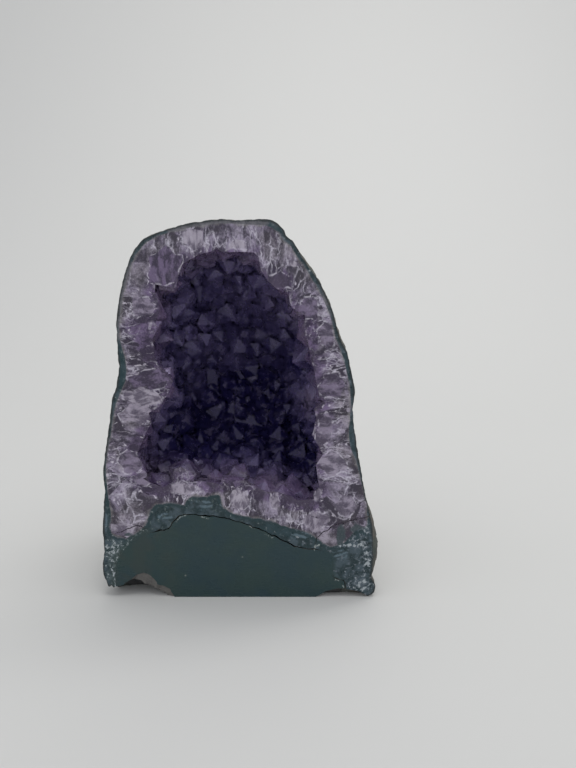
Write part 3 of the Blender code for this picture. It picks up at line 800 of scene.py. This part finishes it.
def polished_rind():
    """Sawn agate and altered basalt: cloudy teal, with paler blue patches, white specks in the feet, and milky quartz
    where it meets the crust."""
    p = Paint("polished_rind")
    place = p.warped(p.warped(p.place, 7.0, 5.0), 2.5, 1.6)
    wave = p.maths("SUBTRACT", p.noise(4.5, place, 5.0, 0.6), 0.5)
    cloud = p.noise(6.0, place, 7.0, 0.65)
    colour = p.mix(p.step(cloud, 0.43, 0.60), (0.0125, 0.031, 0.037), (0.057, 0.086, 0.105))
    dark = p.fringed("dark", wave, 1.6, 0.2, 0.7)
    colour = p.mix(p.times(dark, 0.75), colour, (0.014, 0.042, 0.052))
    rim = p.fringed("from_crust", wave, 3.0, 3.0, 1.2, 0.0, 0.95)
    colour = p.mix(p.times(rim, p.step(p.axis(2), 72, 62)), colour, (0.014, 0.038, 0.046))
    bands = p.noise(1.4, p.warped(place, 3.0, 3.0), 5.0, 0.7)
    rings = p.maths("SINE", p.times(p.stored("from_crust"), 2.4, p.times(cloud, 14.0)))
    blue = p.fringed("blue", wave, 3.0, 0.45, 0.8)
    blue = p.times(blue, p.step(rings, -0.6, 0.6, 0.1, 1.0))
    colour = p.mix(blue, colour, (0.098, 0.147, 0.178))
    colour = p.mix(p.stored("basalt_part"), colour, basalt_colour(p))
    fleck = p.noise(2.1, p.warped(p.place, 2.4, 3.0), 2.5, 0.6)
    fleck = p.times(fleck, 2.2, p.times(p.stored("specks"), 0.42))
    dull = p.times(p.step(fleck, 1.25, 1.45), 0.6)
    dusty = p.mix(p.step(p.axis(0), 0, 40), (0.112, 0.150, 0.150), (0.135, 0.162, 0.194))
    colour = p.mix(dull, colour, dusty)
    colour = p.mix(p.step(fleck, 1.47, 1.66, 0.0, 0.95), colour, (0.38, 0.42, 0.44))
    pores = p.times(p.step(p.noise(1.9, p.vector("ADD", place, 60.0), 5.0, 0.7), 0.44, 0.34), 0.7)
    colour = p.mix(pores, colour, (0.012, 0.022, 0.025))
    milky = p.fringed("from_crust", wave, -3.0, 0.9, -0.1, 0.0, 0.8)
    milky = p.times(milky, p.step(p.stored("dark"), 0.7, 0.2))
    colour = p.mix(milky, colour, (0.155, 0.150, 0.175))
    grey = p.fringed("grey", wave, 1.2, 0.25, 0.6)
    banded = p.mix(p.step(bands, 0.3, 0.7), (0.078, 0.076, 0.090), (0.185, 0.180, 0.198))
    colour = p.mix(p.times(grey, 0.9), colour, banded)
    edge = p.fringed("from_edge", wave, -1.6, 0.4, 1.5, 0.9, 0.0)
    colour = p.mix(edge, colour, (0.020, 0.026, 0.027))
    colour = with_bruises(p, colour, (0.38, 0.41, 0.40))
    rough, skin = p.step(cloud, 0.3, 0.7, 0.24, 0.42), p.bump(bands, 0.06, 0.4)
    return p.finish(base_color=colour, roughness=rough, normal=skin, ior=1.5, specular_ior_level=0.4)


def rough_rind():
    """The stone's outside: dull grey-green rock, rusty in its creases and darkened there as painted shade,
    paler on its knobs, with scattered pale flecks of quartz."""
    p = Paint("rough_rind")
    large, mid = p.noise(24.0, None, 8.0, 0.65), p.noise(4.5, None, 8.0, 0.7)
    fine = p.noise(0.9, None, 5.0, 0.75)
    colour = p.mix(p.step(large, 0.4, 0.6), (0.052, 0.058, 0.052), (0.100, 0.090, 0.074))
    green = p.times(p.step(p.noise(13.0, p.vector("ADD", p.place, 90.0), 7.0, 0.6), 0.50, 0.62), 0.55)
    colour = p.mix(green, colour, (0.044, 0.070, 0.062))
    height = p.times(p.maths("SUBTRACT", mid, 0.5), 3.0, p.stored("relief"))
    colour = p.mix(p.step(height, -0.2, 1.6, 0.0, 0.6), colour, (0.165, 0.155, 0.132))
    # Painted shade: the creases are darkened to near black.
    colour = p.mix(p.step(height, -0.4, -1.5, 0.0, 0.8), colour, (0.018, 0.019, 0.017))
    rust = p.step(p.noise(5.0, p.vector("ADD", p.place, 30.0), 7.0, 0.7), 0.55, 0.68)
    colour = p.mix(p.times(rust, p.step(height, 0.8, -0.6, 0.1, 0.7)), colour, (0.110, 0.062, 0.036))
    colour = p.mix(p.step(fine, 0.58, 0.75, 0.0, 0.65), colour, (0.27, 0.265, 0.245))
    colour = p.mix(p.step(fine, 0.42, 0.28, 0.0, 0.6), colour, (0.016, 0.017, 0.016))
    rough, skin = p.step(fine, 0.3, 0.8, 0.75, 0.95), p.bump(fine, 0.4, 0.9, p.bump(mid, 1.1, 0.9))
    return p.finish(base_color=colour, roughness=rough, normal=skin)


finished(rind, rough_rind(), polished_rind(), sawn, "rind")

# Crystal crust
# One crust of amethyst: quartz that grew inwards from the rind, milky at its roots and purple at its points. The saw
# went through it, so its edge is a polished band of cut crystals, and behind that it keeps its natural points.

WALL_EDGE = [
    (-58.5, 66), (-60.5, 78), (-60.0, 90), (-56.5, 102), (-53.0, 114), (-49.5, 126), (-49.5, 140), (-49.5, 155),
    (-47.0, 170), (-41.5, 182), (-30.0, 190.5), (-14.0, 195), (4.0, 195.3), (15.5, 191), (25.5, 183), (34.0, 171),
    (40.0, 158), (43.5, 144), (46.5, 130), (49.0, 116), (49.5, 100), (50.0, 86), (52.0, 72), (53.5, 60), (49.0, 50),
    (42.0, 47.5), (33.0, 51.5), (20.0, 56), (6.0, 60), (-8.0, 66.5), (-23.0, 69), (-38.0, 66), (-50.0, 61),
]
OPENING_EDGE = [
    (-54.6, 72.4), (-51.2, 76.6), (-54.2, 84.4), (-49.4, 94.7), (-45.6, 101.8), (-46.9, 106.9), (-40.9, 110.4),
    (-36.5, 117.0), (-33.6, 123.5), (-40.0, 131.3), (-42.1, 136.1), (-42.3, 141.9), (-45.2, 150.5), (-41.6, 158.0),
    (-41.0, 166.0), (-40.4, 173.6), (-34.5, 172.6), (-30.0, 171.6), (-28.6, 178.0), (-26.5, 183.4), (-18.1, 188.3),
    (-10.7, 190.0), (-9.3, 191.5), (-6.1, 189.4), (3.1, 189.6), (9.5, 189.2), (11.8, 187.0), (12.7, 181.1),
    (16.3, 175.2), (20.9, 171.3), (26.5, 171.0), (27.4, 164.6), (28.6, 161.8), (35.0, 158.0), (36.0, 146.7),
    (37.0, 142.9), (38.0, 136.1), (39.9, 130.3), (41.0, 123.5), (43.0, 115.6), (44.7, 112.9), (40.2, 108.9),
    (41.2, 103.8), (39.3, 94.7), (42.8, 88.6), (45.0, 83.9), (41.4, 78.2), (42.5, 69.8), (43.5, 65.0), (39.8, 62.6),
    (40.6, 58.6), (32.1, 57.8), (22.0, 62.5), (16.0, 61.9), (7.1, 66.7), (2.2, 69.0), (-5.8, 68.9), (-12.9, 65.2),
    (-21.8, 68.8), (-34.7, 68.8), (-40.9, 65.6), (-47.7, 67.8),
]
SAWN_RINGS = [(-7.5, 0, 0), (0, 0, 0), (3.5, 0.2, 1.5), (8, 1.0, 5.0), (13, 9, 12), (13, 17, 17), (-7.5, 17, 17)]
MIDDLE_LINE = (84, 165)
RIM_COUNT = 48
RIM_LEAN, WALL_LEAN = 22, 38
SPACING, SPACING_CHANGE, CHANGE_WIDTH = 9.0, 0.55, 15
WALL_GRID, WALL_UNTIL = (300, 64), 89.95
CLEAR_OF_FACE = 4
PLACES_TRIED = 9000
ROOT_DEPTH = 3.0
ALONG = 0.995
QUARTZ_IOR = 1.54
ABSORB_COLOUR = (0.34, 0.24, 0.70)
ABSORB_DENSITY = 120.0
rng = np.random.default_rng(11)


def prisms(roots, ways, radius, stand, blunt):
    """The thirteen points of each crystal: a prism whose six sides keep their 60 degree corners but stand at uneven
    distances from its axis, from its root inside the wall to its shoulder, and a point set off the axis, its height
    the radius times a share that blunt lowers."""
    count = len(roots)
    side = radius[:, None] * rng.uniform(0.78, 1.12, (count, 6))
    angle = np.radians(60 * np.arange(6)) + np.zeros((count, 1))
    ahead, turn = np.roll(side, -1, 1), angle + math.radians(60)
    flat = np.stack([
        side * np.sin(turn) - ahead * np.sin(angle), ahead * np.cos(angle) - side * np.cos(turn),
    ], axis=-1) / math.sin(math.radians(60))
    high = stand + radius * rng.uniform(0.8, 1.25, count) * (1 - blunt)
    local = np.zeros((count, 13, 3))
    local[:, :6, :2] = flat * 0.8
    local[:, :6, 2] = -ROOT_DEPTH
    local[:, 6:12, :2] = flat
    local[:, 6:12, 2] = stand[:, None]
    local[:, 12, :2] = rng.uniform(-0.48, 0.48, (count, 2)) * radius[:, None]
    local[:, 12, 2] = high
    first = unit(np.cross(ways, rng.normal(size=(count, 3))))
    turned = np.stack([first, np.cross(ways, first), ways], axis=1)
    return np.einsum("kpi,kij->kpj", local, turned) + roots[:, None, :], high


def leaning(ways, most):
    """The directions turned by up to the given angle, each its own way."""
    lean = unit(rng.normal(size=ways.shape))
    return unit(ways + lean * math.tan(most) * rng.uniform(0.1, 1, (len(ways), 1)))


def out_of_middle(points):
    """For each place on the face its direction away from the hollow's upright middle line."""
    return unit(points - np.column_stack([0 * points[:, 0], np.clip(points[:, 1], *MIDDLE_LINE)]))


def sawn_row():
    """The crystals that the saw went through, grown into one ring: the edge of the opening in short straight runs,
    and behind it flat facets that turn away at uneven slopes."""
    tips = np.array(OPENING_EDGE, float)
    out, rings = out_of_middle(tips), []
    for back, low, high in SAWN_RINGS:
        ring = np.insert(tips + rng.uniform(low, high, len(tips))[:, None] * out, 1, FACE_Y + back, axis=1)
        ring[:, 1] += rng.uniform(-1.2, 1.2, len(tips)) * (0 < back < 13)
        rings.append(ring)
    index = np.arange(len(rings) * len(tips)).reshape(len(rings), len(tips))
    around = quads(np.pad(index, ((0, 1), (0, 1)), "wrap"))
    return solid("sawn_row", np.concatenate(rings), around[:, :3].tolist() + around[:, [0, 2, 3]].tolist())


def rim_row():
    """Whole crystals close behind the sawn ones, their points level with the opening's edge or a little past it."""
    tips = evenly(np.array(OPENING_EDGE, float), RIM_COUNT)
    inwards = -out_of_middle(tips)
    radius, stand = rng.uniform(3.6, 6.4, RIM_COUNT), rng.uniform(3.0, 6.0, RIM_COUNT)
    blunt = rng.uniform(0.0, 0.5, RIM_COUNT)
    back = stand + radius * (1 - blunt) + rng.uniform(-3.0, 2.5, RIM_COUNT)
    places = np.insert(tips - back[:, None] * inwards, 1, 0.0, axis=1)
    places[:, 1] = FACE_Y + rng.uniform(4.5, 9.0, RIM_COUNT) + radius * 0.4
    return places, leaning(np.insert(inwards, 1, 0.15, axis=1), math.radians(RIM_LEAN)), radius, stand, blunt


def wall_rows():
    """Crystals all over the wall, each kept clear of those already there by a spacing that varies smoothly."""
    loop = closed_curve(WALL_EDGE, WALL_GRID[0])
    rings = bowl(loop, HOLLOW_POLE, WALL_DEPTH, HOLLOW_FULLNESS, WALL_GRID[1], WALL_UNTIL)
    around = np.roll(rings, -1, 1) - np.roll(rings, 1, 1)
    normal = np.cross(np.gradient(rings, axis=0), around)
    area = np.linalg.norm(normal, axis=2)
    area[rings[:, :, 1] < FACE_Y + CLEAR_OF_FACE] = 0
    places = rings.reshape(-1, 3)
    ways = (normal / np.maximum(np.linalg.norm(normal, axis=2), 1e-9)[..., None]).reshape(-1, 3)
    spacing = SPACING * (1 + SPACING_CHANGE * smooth_noise(places, CHANGE_WIDTH, 21))
    kept = []
    for k in rng.choice(len(places), PLACES_TRIED, p=(area / area.sum()).ravel()):
        if not kept or (np.linalg.norm(places[kept] - places[k], axis=1) > spacing[k]).all():
            kept.append(k)
    radius = spacing[kept] * rng.uniform(0.62, 0.92, len(kept))
    stand = radius * rng.uniform(0.0, 0.8, len(kept))
    leant = leaning(ways[kept], math.radians(WALL_LEAN))
    return places[kept], leant, radius, stand, rng.uniform(0.0, 0.4, len(kept))


roots, ways, radius, stand, blunt = (np.concatenate(rows) for rows in zip(rim_row(), wall_rows()))
prism_points, heights = prisms(roots, ways, radius, stand, blunt)
PRISM_FACES = [[5, 4, 3, 2, 1, 0]]
PRISM_FACES += [[k, (k + 1) % 6, 6 + (k + 1) % 6, 6 + k] for k in range(6)]
PRISM_FACES += [[6 + k, 6 + (k + 1) % 6, 12] for k in range(6)]
crystal_shapes = bpy.data.collections.new("crystal_shapes")
for each in (sawn_row(), *(solid("crystal", points, PRISM_FACES) for points in prism_points)):
    bpy.context.scene.collection.objects.unlink(each)
    crystal_shapes.objects.link(each)

wall = bowl_body("wall", closed_curve(WALL_EDGE, 60), WALL_DEPTH, 9, 7.0)
hollow = wall.modifiers.new("crystals", "BOOLEAN")
hollow.operation, hollow.operand_type, hollow.collection = "DIFFERENCE", "COLLECTION", crystal_shapes
settle(wall)
druse = bowl_body("amethyst_druse", crust_loop, HOLLOW_DEPTH, CRUST_RINGS, 7.0)
cut(druse, [wall], solver="EXACT")
for each in list(crystal_shapes.objects):
    bpy.data.objects.remove(each)


def keep_largest_shell(target):
    """Drops the small closed shells that lie inside the target's skin."""
    mesh = bmesh.new()
    mesh.from_mesh(target.data)
    left, shells = set(mesh.verts), []
    while left:
        front, shell = [left.pop()], []
        while front:
            vertex = front.pop()
            shell.append(vertex)
            fresh = [e.other_vert(vertex) for e in vertex.link_edges if e.other_vert(vertex) in left]
            left.difference_update(fresh)
            front += fresh
        shells.append(shell)
    for shell in sorted(shells, key=len)[:-1]:
        bmesh.ops.delete(mesh, geom=shell, context="VERTS")
    mesh.to_mesh(target.data)
    mesh.free()


cut(druse, [saw, *cracks])
keep_largest_shell(druse)

# Purple crystals, milky crystals, nets of white veins and inlets of agate on the polished band
PURPLE = [
    (-35, 181, 7, 9, 1.0), (-43, 124, 9, 4, 1), (-48, 172, 5, 7, 0.3), (22.7, 175, 6, 4.5, 2.2), (30, 188, 6, 5, 0.3),
    (47, 119, 6, 7, 0.5), (-52, 84, 8, 10, 0.9), (-48, 143, 5, 7, 0.6), (-54, 152, 6, 7, 1.0), (42, 92, 5, 12, 0.7),
    (40, 150, 6, 8, 0.6), (36, 60, 7, 4, 0.5), (-60, 120, 4, 6, 0.3), (48, 102, 7, 5, 0.4), (50, 134, 5, 5, 0.5),
    (-44, 66, 12, 4, 1), (-13, 67, 8, 5, 1.5), (11, 63, 6, 5, 1.6), (29, 58, 7, 5, 1.5), (38, 56, 6, 5, 0.9),
    (-40, 62, 8, 4, 1.0), (-27, 70, 9, 3, 0.9),
]
MILKY = [
    (15, 186, 5, 5, 0.8), (-53, 106, 7, 5, 0.7), (-29, 65, 7, 4, 1), (-1, 57, 8, 6, 1), (14, 56, 6, 5, 0.5),
    (-8, 197, 26, 7, 0.8), (-56, 160, 5, 6, 0.2), (47, 80, 5, 11, 1.1), (45, 165, 4, 6, 0.3), (-64, 60, 5, 14, 0.5),
    (52, 55, 12, 7, 0.5), (47, 36, 4, 4, 1.1), (34, 48, 9, 4, 0.6), (54, 75, 5, 10, 0.3), (56, 132, 3, 5, 0.3),
    (-67, 92, 4, 5, 0.5), (-63, 43, 8, 5, 0.8),
]
VEINS = [
    (-54, 158, 6, 8, 0.7), (-58, 136, 5, 10, 0.4), (-48, 115, 9, 5, 1), (50, 117, 6, 8, 0.9), (50, 132, 6, 8, 0.8),
    (52, 78, 8, 16, 0.8), (-60, 66, 10, 16, 0.6), (-28, 65, 8, 7, 1), (0, 58, 9, 9, 1), (36, 47, 12, 6, 0.8),
    (-10, 194, 30, 8, 0.5), (12, 184, 6, 6, 0.8), (47, 158, 6, 12, 0.7), (60, 56, 8, 8, 0.7),
]
AGATE = [(55.3, 36.5, 2.4, 7, 1.2), (-61, 38, 4, 1.5, 0.6), (64, 41, 4, 2.5, 0.8)]

# Lighter and darker zones of the natural crystals in the hollow: partly their own tone, partly painted light and shade
LIGHTER = [
    (36, 102, 9, 18, 1.3), (30, 152, 12, 14, 0.9), (-33, 142, 8, 11, 0.7), (0, 160, 22, 16, 0.5),
    (-20, 126, 16, 14, 0.4), (-34, 108, 7, 12, 0.5),
]
DARKER = [
    (37, 70, 9, 10, 1.4), (8, 92, 14, 12, 0.5), (-44, 82, 7, 9, 0.7), (26, 84, 8, 8, 0.4), (-42, 142, 7, 16, 0.7),
    (37, 125, 6, 12, 0.9), (4, 105, 14, 12, 0.4), (-31, 74, 13, 7, 1.7), (-8, 75, 10, 5, 0.6), (36, 133, 7, 9, 0.5),
    (-10, 88, 12, 12, 0.7),
]

spots = points_of(druse)
middles, normals = faces_of(druse)
sawn = on_plane((middles, normals), 1, FACE_Y)
to_crust = nearest(crust_loop, spots)
to_opening = nearest(evenly(np.array(OPENING_EDGE, float), 900), spots)
store(druse, "from_crust", to_crust)
store(druse, "from_opening", to_opening)
store(druse, "depth_in", to_crust / (to_crust + to_opening + 1e-6))
store(druse, "band", np.column_stack([
    np.interp(spots[:, 0], [-80, -42, 42, 80], [-61, -42, 42, 61]), spots[:, 1],
    np.interp(spots[:, 2], [30, 66, 172, 212], [48, 66, 172, 190]),
]))
for name, patches in (("purple", PURPLE), ("milky", MILKY), ("veins", VEINS), ("agate", AGATE)):
    store(druse, name, spread(spots, patches))


# Big crystals that the saw went through: (x, z, half width, half height, how far round it leans, how pale it is)
CUT_CRYSTALS = [
    (-35.5, 181.9, 7.8, 9.0, -15, 0.0), (22.7, 175.4, 5.6, 4.2, -10, 0.0), (-46, 125, 10.5, 5.2, 5, 0.05),
    (-50, 115.7, 11.0, 4.2, -8, 0.95), (-53.7, 106.3, 8.6, 5.5, 12, 0.7), (49.1, 121, 7.0, 6.6, 20, 0.15),
    (45, 96.5, 4.4, 9.8, -14, 0.4), (28.9, 183.9, 3.4, 2.4, 0, 1.3), (1.5, 192.3, 4.4, 2.7, 0, 1.3),
    (-47.5, 162, 6.2, 5.0, 30, 0.45), (37.5, 161, 5.0, 6.0, 20, 0.1), (46, 148, 3.8, 6.2, 10, 0.35),
    (50, 79, 7.0, 5.8, 0, 0.6), (-29.3, 64.6, 6.4, 4.0, 0, 0.85), (0, 58.5, 5.6, 5.6, 15, 1.05),
    (19.6, 57.5, 3.0, 4.4, 0, 0.85), (42.7, 61, 2.4, 3.0, 0, 0.8), (-50.9, 70.0, 5.6, 4.6, 0, 0.3),
    (41.5, 46.3, 6.4, 5.4, 0, 0.85), (57.9, 55, 5.2, 7.0, 10, 0.6), (-64.5, 40.5, 6.8, 3.4, -10, 0.95),
    (-58, 80, 6.0, 6.5, 10, 0.25), (-21, 196, 6.0, 4.4, -10, 0.9),
]
HEXAGON_WAYS = (0.2, 1.15, 2.3)


def within_cut_crystals(points):
    """For each point how far it lies inside the outline of a big cut crystal, in millimetres and less than 0 outside,
    and how pale that crystal is. An outline is a hexagon with a wavy edge, stretched to its two widths."""
    x, z, wide, high, turn, pale = np.array(CUT_CRYSTALS).T[:, :, None]
    points = points + np.stack([rough_noise(points, (2.2, 6, seed)) for seed in (61, 62, 63)], axis=1)
    cos, sin = np.cos(np.radians(turn)), np.sin(np.radians(turn))
    along = ((points[:, 0] - x) * cos + (points[:, 2] - z) * sin) / wide
    sideways = ((points[:, 2] - z) * cos - (points[:, 0] - x) * sin) / high
    size = np.max([np.abs(along * math.cos(k) + sideways * math.sin(k)) for k in HEXAGON_WAYS], axis=0)
    inside = (1 - size) * np.minimum(wide, high)
    return inside.max(0), pale[inside.argmax(0), 0]


within, how_pale = within_cut_crystals(spots)
store(druse, "within", within)
store(druse, "how_pale", how_pale)


def crystal_of_faces():
    """The number of the crystal that each face belongs to, or -1: the one that has a plane under the face's middle."""
    triples = prism_points[:, [face[:3] for face in PRISM_FACES]]
    plane_way = unit(np.cross(triples[:, :, 1] - triples[:, :, 0], triples[:, :, 2] - triples[:, :, 0]))
    plane_at = np.einsum("kfi,kfi->kf", plane_way, triples[:, :, 0])
    centre = prism_points.mean(1)
    reach = np.linalg.norm(prism_points - centre[:, None], axis=-1).max(1)
    owner = np.full(len(middles), -1)
    for k in range(len(roots)):
        near = np.flatnonzero(np.linalg.norm(middles - centre[k], axis=1) < reach[k])
        off = np.abs(middles[near] @ plane_way[k].T - plane_at[k])
        along = np.abs(normals[near] @ plane_way[k].T)
        owner[near[((off < ON_PLANE) & (along > ALONG)).any(1)]] = k
    return owner


corner_point = np.empty(len(druse.data.loops), np.int32)
druse.data.loops.foreach_get("vertex_index", corner_point)
corner_count = np.empty(len(druse.data.polygons), np.int32)
druse.data.polygons.foreach_get("loop_total", corner_count)
owner = np.repeat(crystal_of_faces(), corner_count)
corner_spots = spots[corner_point]
mine = np.maximum(owner, 0)
up = np.einsum("ci,ci->c", corner_spots - roots[mine], ways[mine])
rise = np.where(owner < 0, 0, up / heights[mine])

# Milk lies near the front, most on the floor of the hollow, partly as a painted highlight where light falls there.
# Each crystal's tint varies at random, and painted light and shade is added: pale near the front, dark deep and low
# down.
back = corner_spots[:, 1] - FACE_Y
floor_part = step(corner_spots[:, 2], 90, 66)
front = np.clip(step(back, 10, 0) + floor_part * step(back, 34, 6), 0, 1)
# Partly a painted highlight: the milk is laid near the front and on the hollow's floor, where the light falls.
milk_and_highlight = front * (1.15 - rise) * (0.75 + 0.6 * smooth_noise(corner_spots, 8, 51))
milk_and_highlight = np.clip(milk_and_highlight * (1 - np.clip(0.55 * spread(corner_spots, PURPLE), 0, 0.8)), 0, 1)
store(druse, "milk_and_highlight", milk_and_highlight, "CORNER")
store(druse, "near", step(back, 42, 4), "CORNER")
tint = np.where(owner < 0, 0.3, rng.uniform(0, 0.6, len(roots))[mine])
# Painted light and shade: paler near the front, darker deep in the hollow and low down.
tint += 1.5 * step(back, 72, 0) - 0.5 * step(corner_spots[:, 2], 138, 100) * step(back, 25, 60)
# The lighter and darker zones add painted light and shade along with the crystals' own tone.
tint += spread(corner_spots, LIGHTER) - spread(corner_spots, DARKER)
store(druse, "tint", tint, "CORNER")
growth = corner_spots * 0.12 + ways[mine] * (up * 1.5)[:, None]
store(druse, "growth", np.where((owner < 0)[:, None], corner_spots, growth), "CORNER")


def polished_amethyst():
    """Cut crystals: each a patch of its own grey-lilac, purple near the hollow, crossed by crinkled white veins where
    they grew together, with pores of dark quartz between and small white specks of painted glint."""
    p = Paint("polished_amethyst")
    band = p.stored("band", "Vector")
    place = p.warped(p.warped(band, 9.0, 6.0), 2.6, 1.8)
    wave = p.maths("SUBTRACT", p.noise(4.5, place, 4.0), 0.5)
    patch = p.cells(6.5, place, "F1", "Color")
    mottle = p.noise(3.4, place, 6.0, 0.62)
    fine = p.noise(1.1, p.place, 5.0, 0.7)
    light = p.times(p.maths("SUBTRACT", mottle, 0.592), 2.5, patch)
    light = p.times(p.stored("milky"), 0.5, light)
    light = p.times(p.maths("SUBTRACT", fine, 0.5), 0.9, light)
    grains = p.cells(2.7, p.warped(place, 1.6, 1.6), "F1", "Color")
    light = p.times(p.maths("SUBTRACT", grains, 0.5), 0.45, light)
    light = p.step(light, 0.0, 1.2)
    lilac = p.mix(light, (0.031, 0.023, 0.046), (0.36, 0.31, 0.42))
    warm = p.step(p.noise(13.0, p.vector("ADD", p.place, 20.0), 2.0), 0.45, 0.62, 0.0, 0.45)
    lilac = p.mix(warm, lilac, p.mix(light, (0.042, 0.035, 0.044), (0.355, 0.325, 0.345)))
    deep = p.mix(light, (0.028, 0.016, 0.048), (0.18, 0.125, 0.245))
    towards = p.times(p.stored("purple"), 0.9, p.step(p.stored("depth_in"), 0.35, 1.0, 0.0, 0.85))
    towards = p.times(p.stored("milky"), -0.5, towards)
    share = p.step(p.times(wave, 1.4, towards), 0.15, 0.85)
    colour = p.mix(share, lilac, deep)
    pores = p.times(p.step(p.noise(2.0, p.vector("ADD", place, 40.0), 4.0, 0.7), 0.42, 0.33), 0.7)
    colour = p.mix(pores, colour, (0.045, 0.028, 0.062))
    crinkled = p.warped(p.warped(place, 2.2, 1.7), 0.9, 0.5)
    net = p.step(p.cells(4.8, crinkled, "DISTANCE_TO_EDGE"), 0.0, 0.085, 1.0, 0.0)
    close_net = p.step(p.cells(2.7, crinkled, "DISTANCE_TO_EDGE"), 0.0, 0.11, 0.75, 0.0)
    there = p.times(p.stored("veins"), 0.34, p.noise(5.5, place, 3.0))
    close_there = p.times(p.stored("veins"), 0.3, p.noise(6.5, p.vector("ADD", place, 80.0), 3.0))
    vein = p.times(net, p.step(there, 0.5, 0.68))
    close_vein = p.times(close_net, p.step(close_there, 0.60, 0.76))
    veins = p.times(p.maths("MAXIMUM", vein, close_vein), p.step(share, 0.3, 0.9, 1.0, 0.5))
    colour = p.mix(p.times(veins, p.step(fine, 0.3, 0.6, 0.2, 0.9)), colour, (0.60, 0.56, 0.66))
    rime = p.times(p.step(p.noise(6.0, p.place, 3.0), 0.52, 0.64), p.step(p.stored("from_opening"), 1.6, 0.1))
    rime = p.times(rime, p.times(fine, p.step(p.axis(2), 68, 80, 0.25, 1.0)))
    # Painted glints: small white specks over the band, laid on with the pale rime along the opening's edge.
    painted_glints = p.step(p.noise(1.9, crinkled, 3.0, 0.6), 0.62, 0.72)
    colour = p.mix(p.times(p.maths("MAXIMUM", rime, painted_glints), 0.85), colour, (0.66, 0.61, 0.70))
    root = p.fringed("from_crust", wave, 4.5, 1.3, -0.2, 0.0, 0.75)
    chalky = p.mix(p.step(mottle, 0.4, 0.6), (0.13, 0.12, 0.125), (0.26, 0.25, 0.255))
    colour = p.mix(root, colour, chalky)
    within = p.times(wave, 1.2, p.stored("within"))
    glow = p.step(p.times(p.maths("SUBTRACT", mottle, 0.5), 2.2, p.noise(6.0, band, 3.0)), 0.28, 0.72)
    purple = p.mix(glow, (0.028, 0.017, 0.048), (0.150, 0.108, 0.200))
    own = p.mix(p.stored("how_pale"), purple, p.mix(glow, (0.130, 0.108, 0.157), (0.45, 0.405, 0.48)))
    colour = p.mix(p.step(within, 0.0, 0.7, 0.0, 0.88), colour, own)
    broken = p.step(p.noise(4.0, p.vector("ADD", p.place, 50.0), 4.0, 0.65), 0.48, 0.62, 0.0, 0.7)
    outline = p.times(p.times(p.step(within, -0.5, -0.05), p.step(within, 0.55, 0.1)), broken)
    colour = p.mix(outline, colour, (0.60, 0.56, 0.65))
    dusk = p.fringed("purple", wave, 1.5, 0.9, 1.6, 0.0, 0.78)
    colour = p.mix(dusk, colour, (0.048, 0.032, 0.068))
    agate = p.fringed("agate", wave, 1.5, 0.3, 0.6, 0.0, 0.9)
    colour = p.mix(agate, colour, (0.030, 0.052, 0.062))
    rough, skin = p.step(fine, 0.3, 0.7, 0.12, 0.32), p.bump(p.maths("SUBTRACT", mottle, veins), 0.1, 0.45)
    return p.finish(
        base_color=colour, roughness=rough, normal=skin, ior=QUARTZ_IOR, specular_ior_level=0.45,
        coat_weight=0.15, coat_roughness=0.1,
    )


def crystal_faces():
    """Natural crystal faces: clear purple quartz, milky towards the roots near the front, with fine growth lines
    across the sides of the prisms. Their colour also holds painted light and shade: paler near the front and on the
    floor of the hollow, darker deep inside."""
    p = Paint("amethyst_crystal")
    cloud = p.noise(4.0, None, 5.0, 0.6)
    # The stored tint holds painted light and shade as well as each crystal's own colour.
    body = p.mix(p.stored("tint"), (0.038, 0.032, 0.165), (0.27, 0.22, 0.50))
    body = p.mix(p.step(p.stored("tint"), 0.9, 2.0), body, (0.50, 0.40, 0.66))
    wine = p.mix(p.step(p.stored("tint"), 0.4, 1.9), (0.042, 0.022, 0.072), (0.27, 0.185, 0.35))
    body = p.mix(p.times(p.stored("near"), 0.85), body, wine)
    veil = p.noise(5.0, p.warped(p.place, 6.0, 5.0), 3.5, 0.6)
    body = p.mix(p.step(veil, 0.50, 0.72, 0.0, 0.75), body, (0.36, 0.31, 0.52))
    body = p.mix(p.step(veil, 0.47, 0.30, 0.0, 0.8), body, (0.018, 0.013, 0.066))
    milky = p.mix(cloud, (0.25, 0.19, 0.285), (0.66, 0.60, 0.68))
    share = p.fringed("milk_and_highlight", p.maths("SUBTRACT", cloud, 0.5), 0.9, 0.1, 1.0)
    lines = p.noise(0.9, p.stored("growth", "Vector"), 4.0, 0.6)
    rough = p.step(veil, 0.35, 0.7, 0.07, 0.36)
    skin = p.bump(p.noise(4.5, None, 2.0), 0.9, 0.5)
    material = p.finish(
        base_color=p.mix(share, body, milky), roughness=rough, normal=p.bump(lines, 0.09, 0.5, skin),
        ior=QUARTZ_IOR, transmission_weight=0.6, specular_ior_level=0.25, specular_tint=(0.78, 0.72, 1.0),
    )
    absorb = p.nodes.new("ShaderNodeVolumeAbsorption")
    p.put(absorb.inputs["Color"], ABSORB_COLOUR)
    p.put(absorb.inputs["Density"], ABSORB_DENSITY)
    p.links.new(absorb.outputs[0], p.nodes["Material Output"].inputs["Volume"])
    return material


finished(druse, crystal_faces(), polished_amethyst(), sawn, "crystal_crust", smooth=False)

# Leftovers
# The shapes that only cut others are removed.

for helper in (saw, ground, crust_seat, base_seat, wall, *chips, *cracks):
    bpy.data.objects.remove(helper)
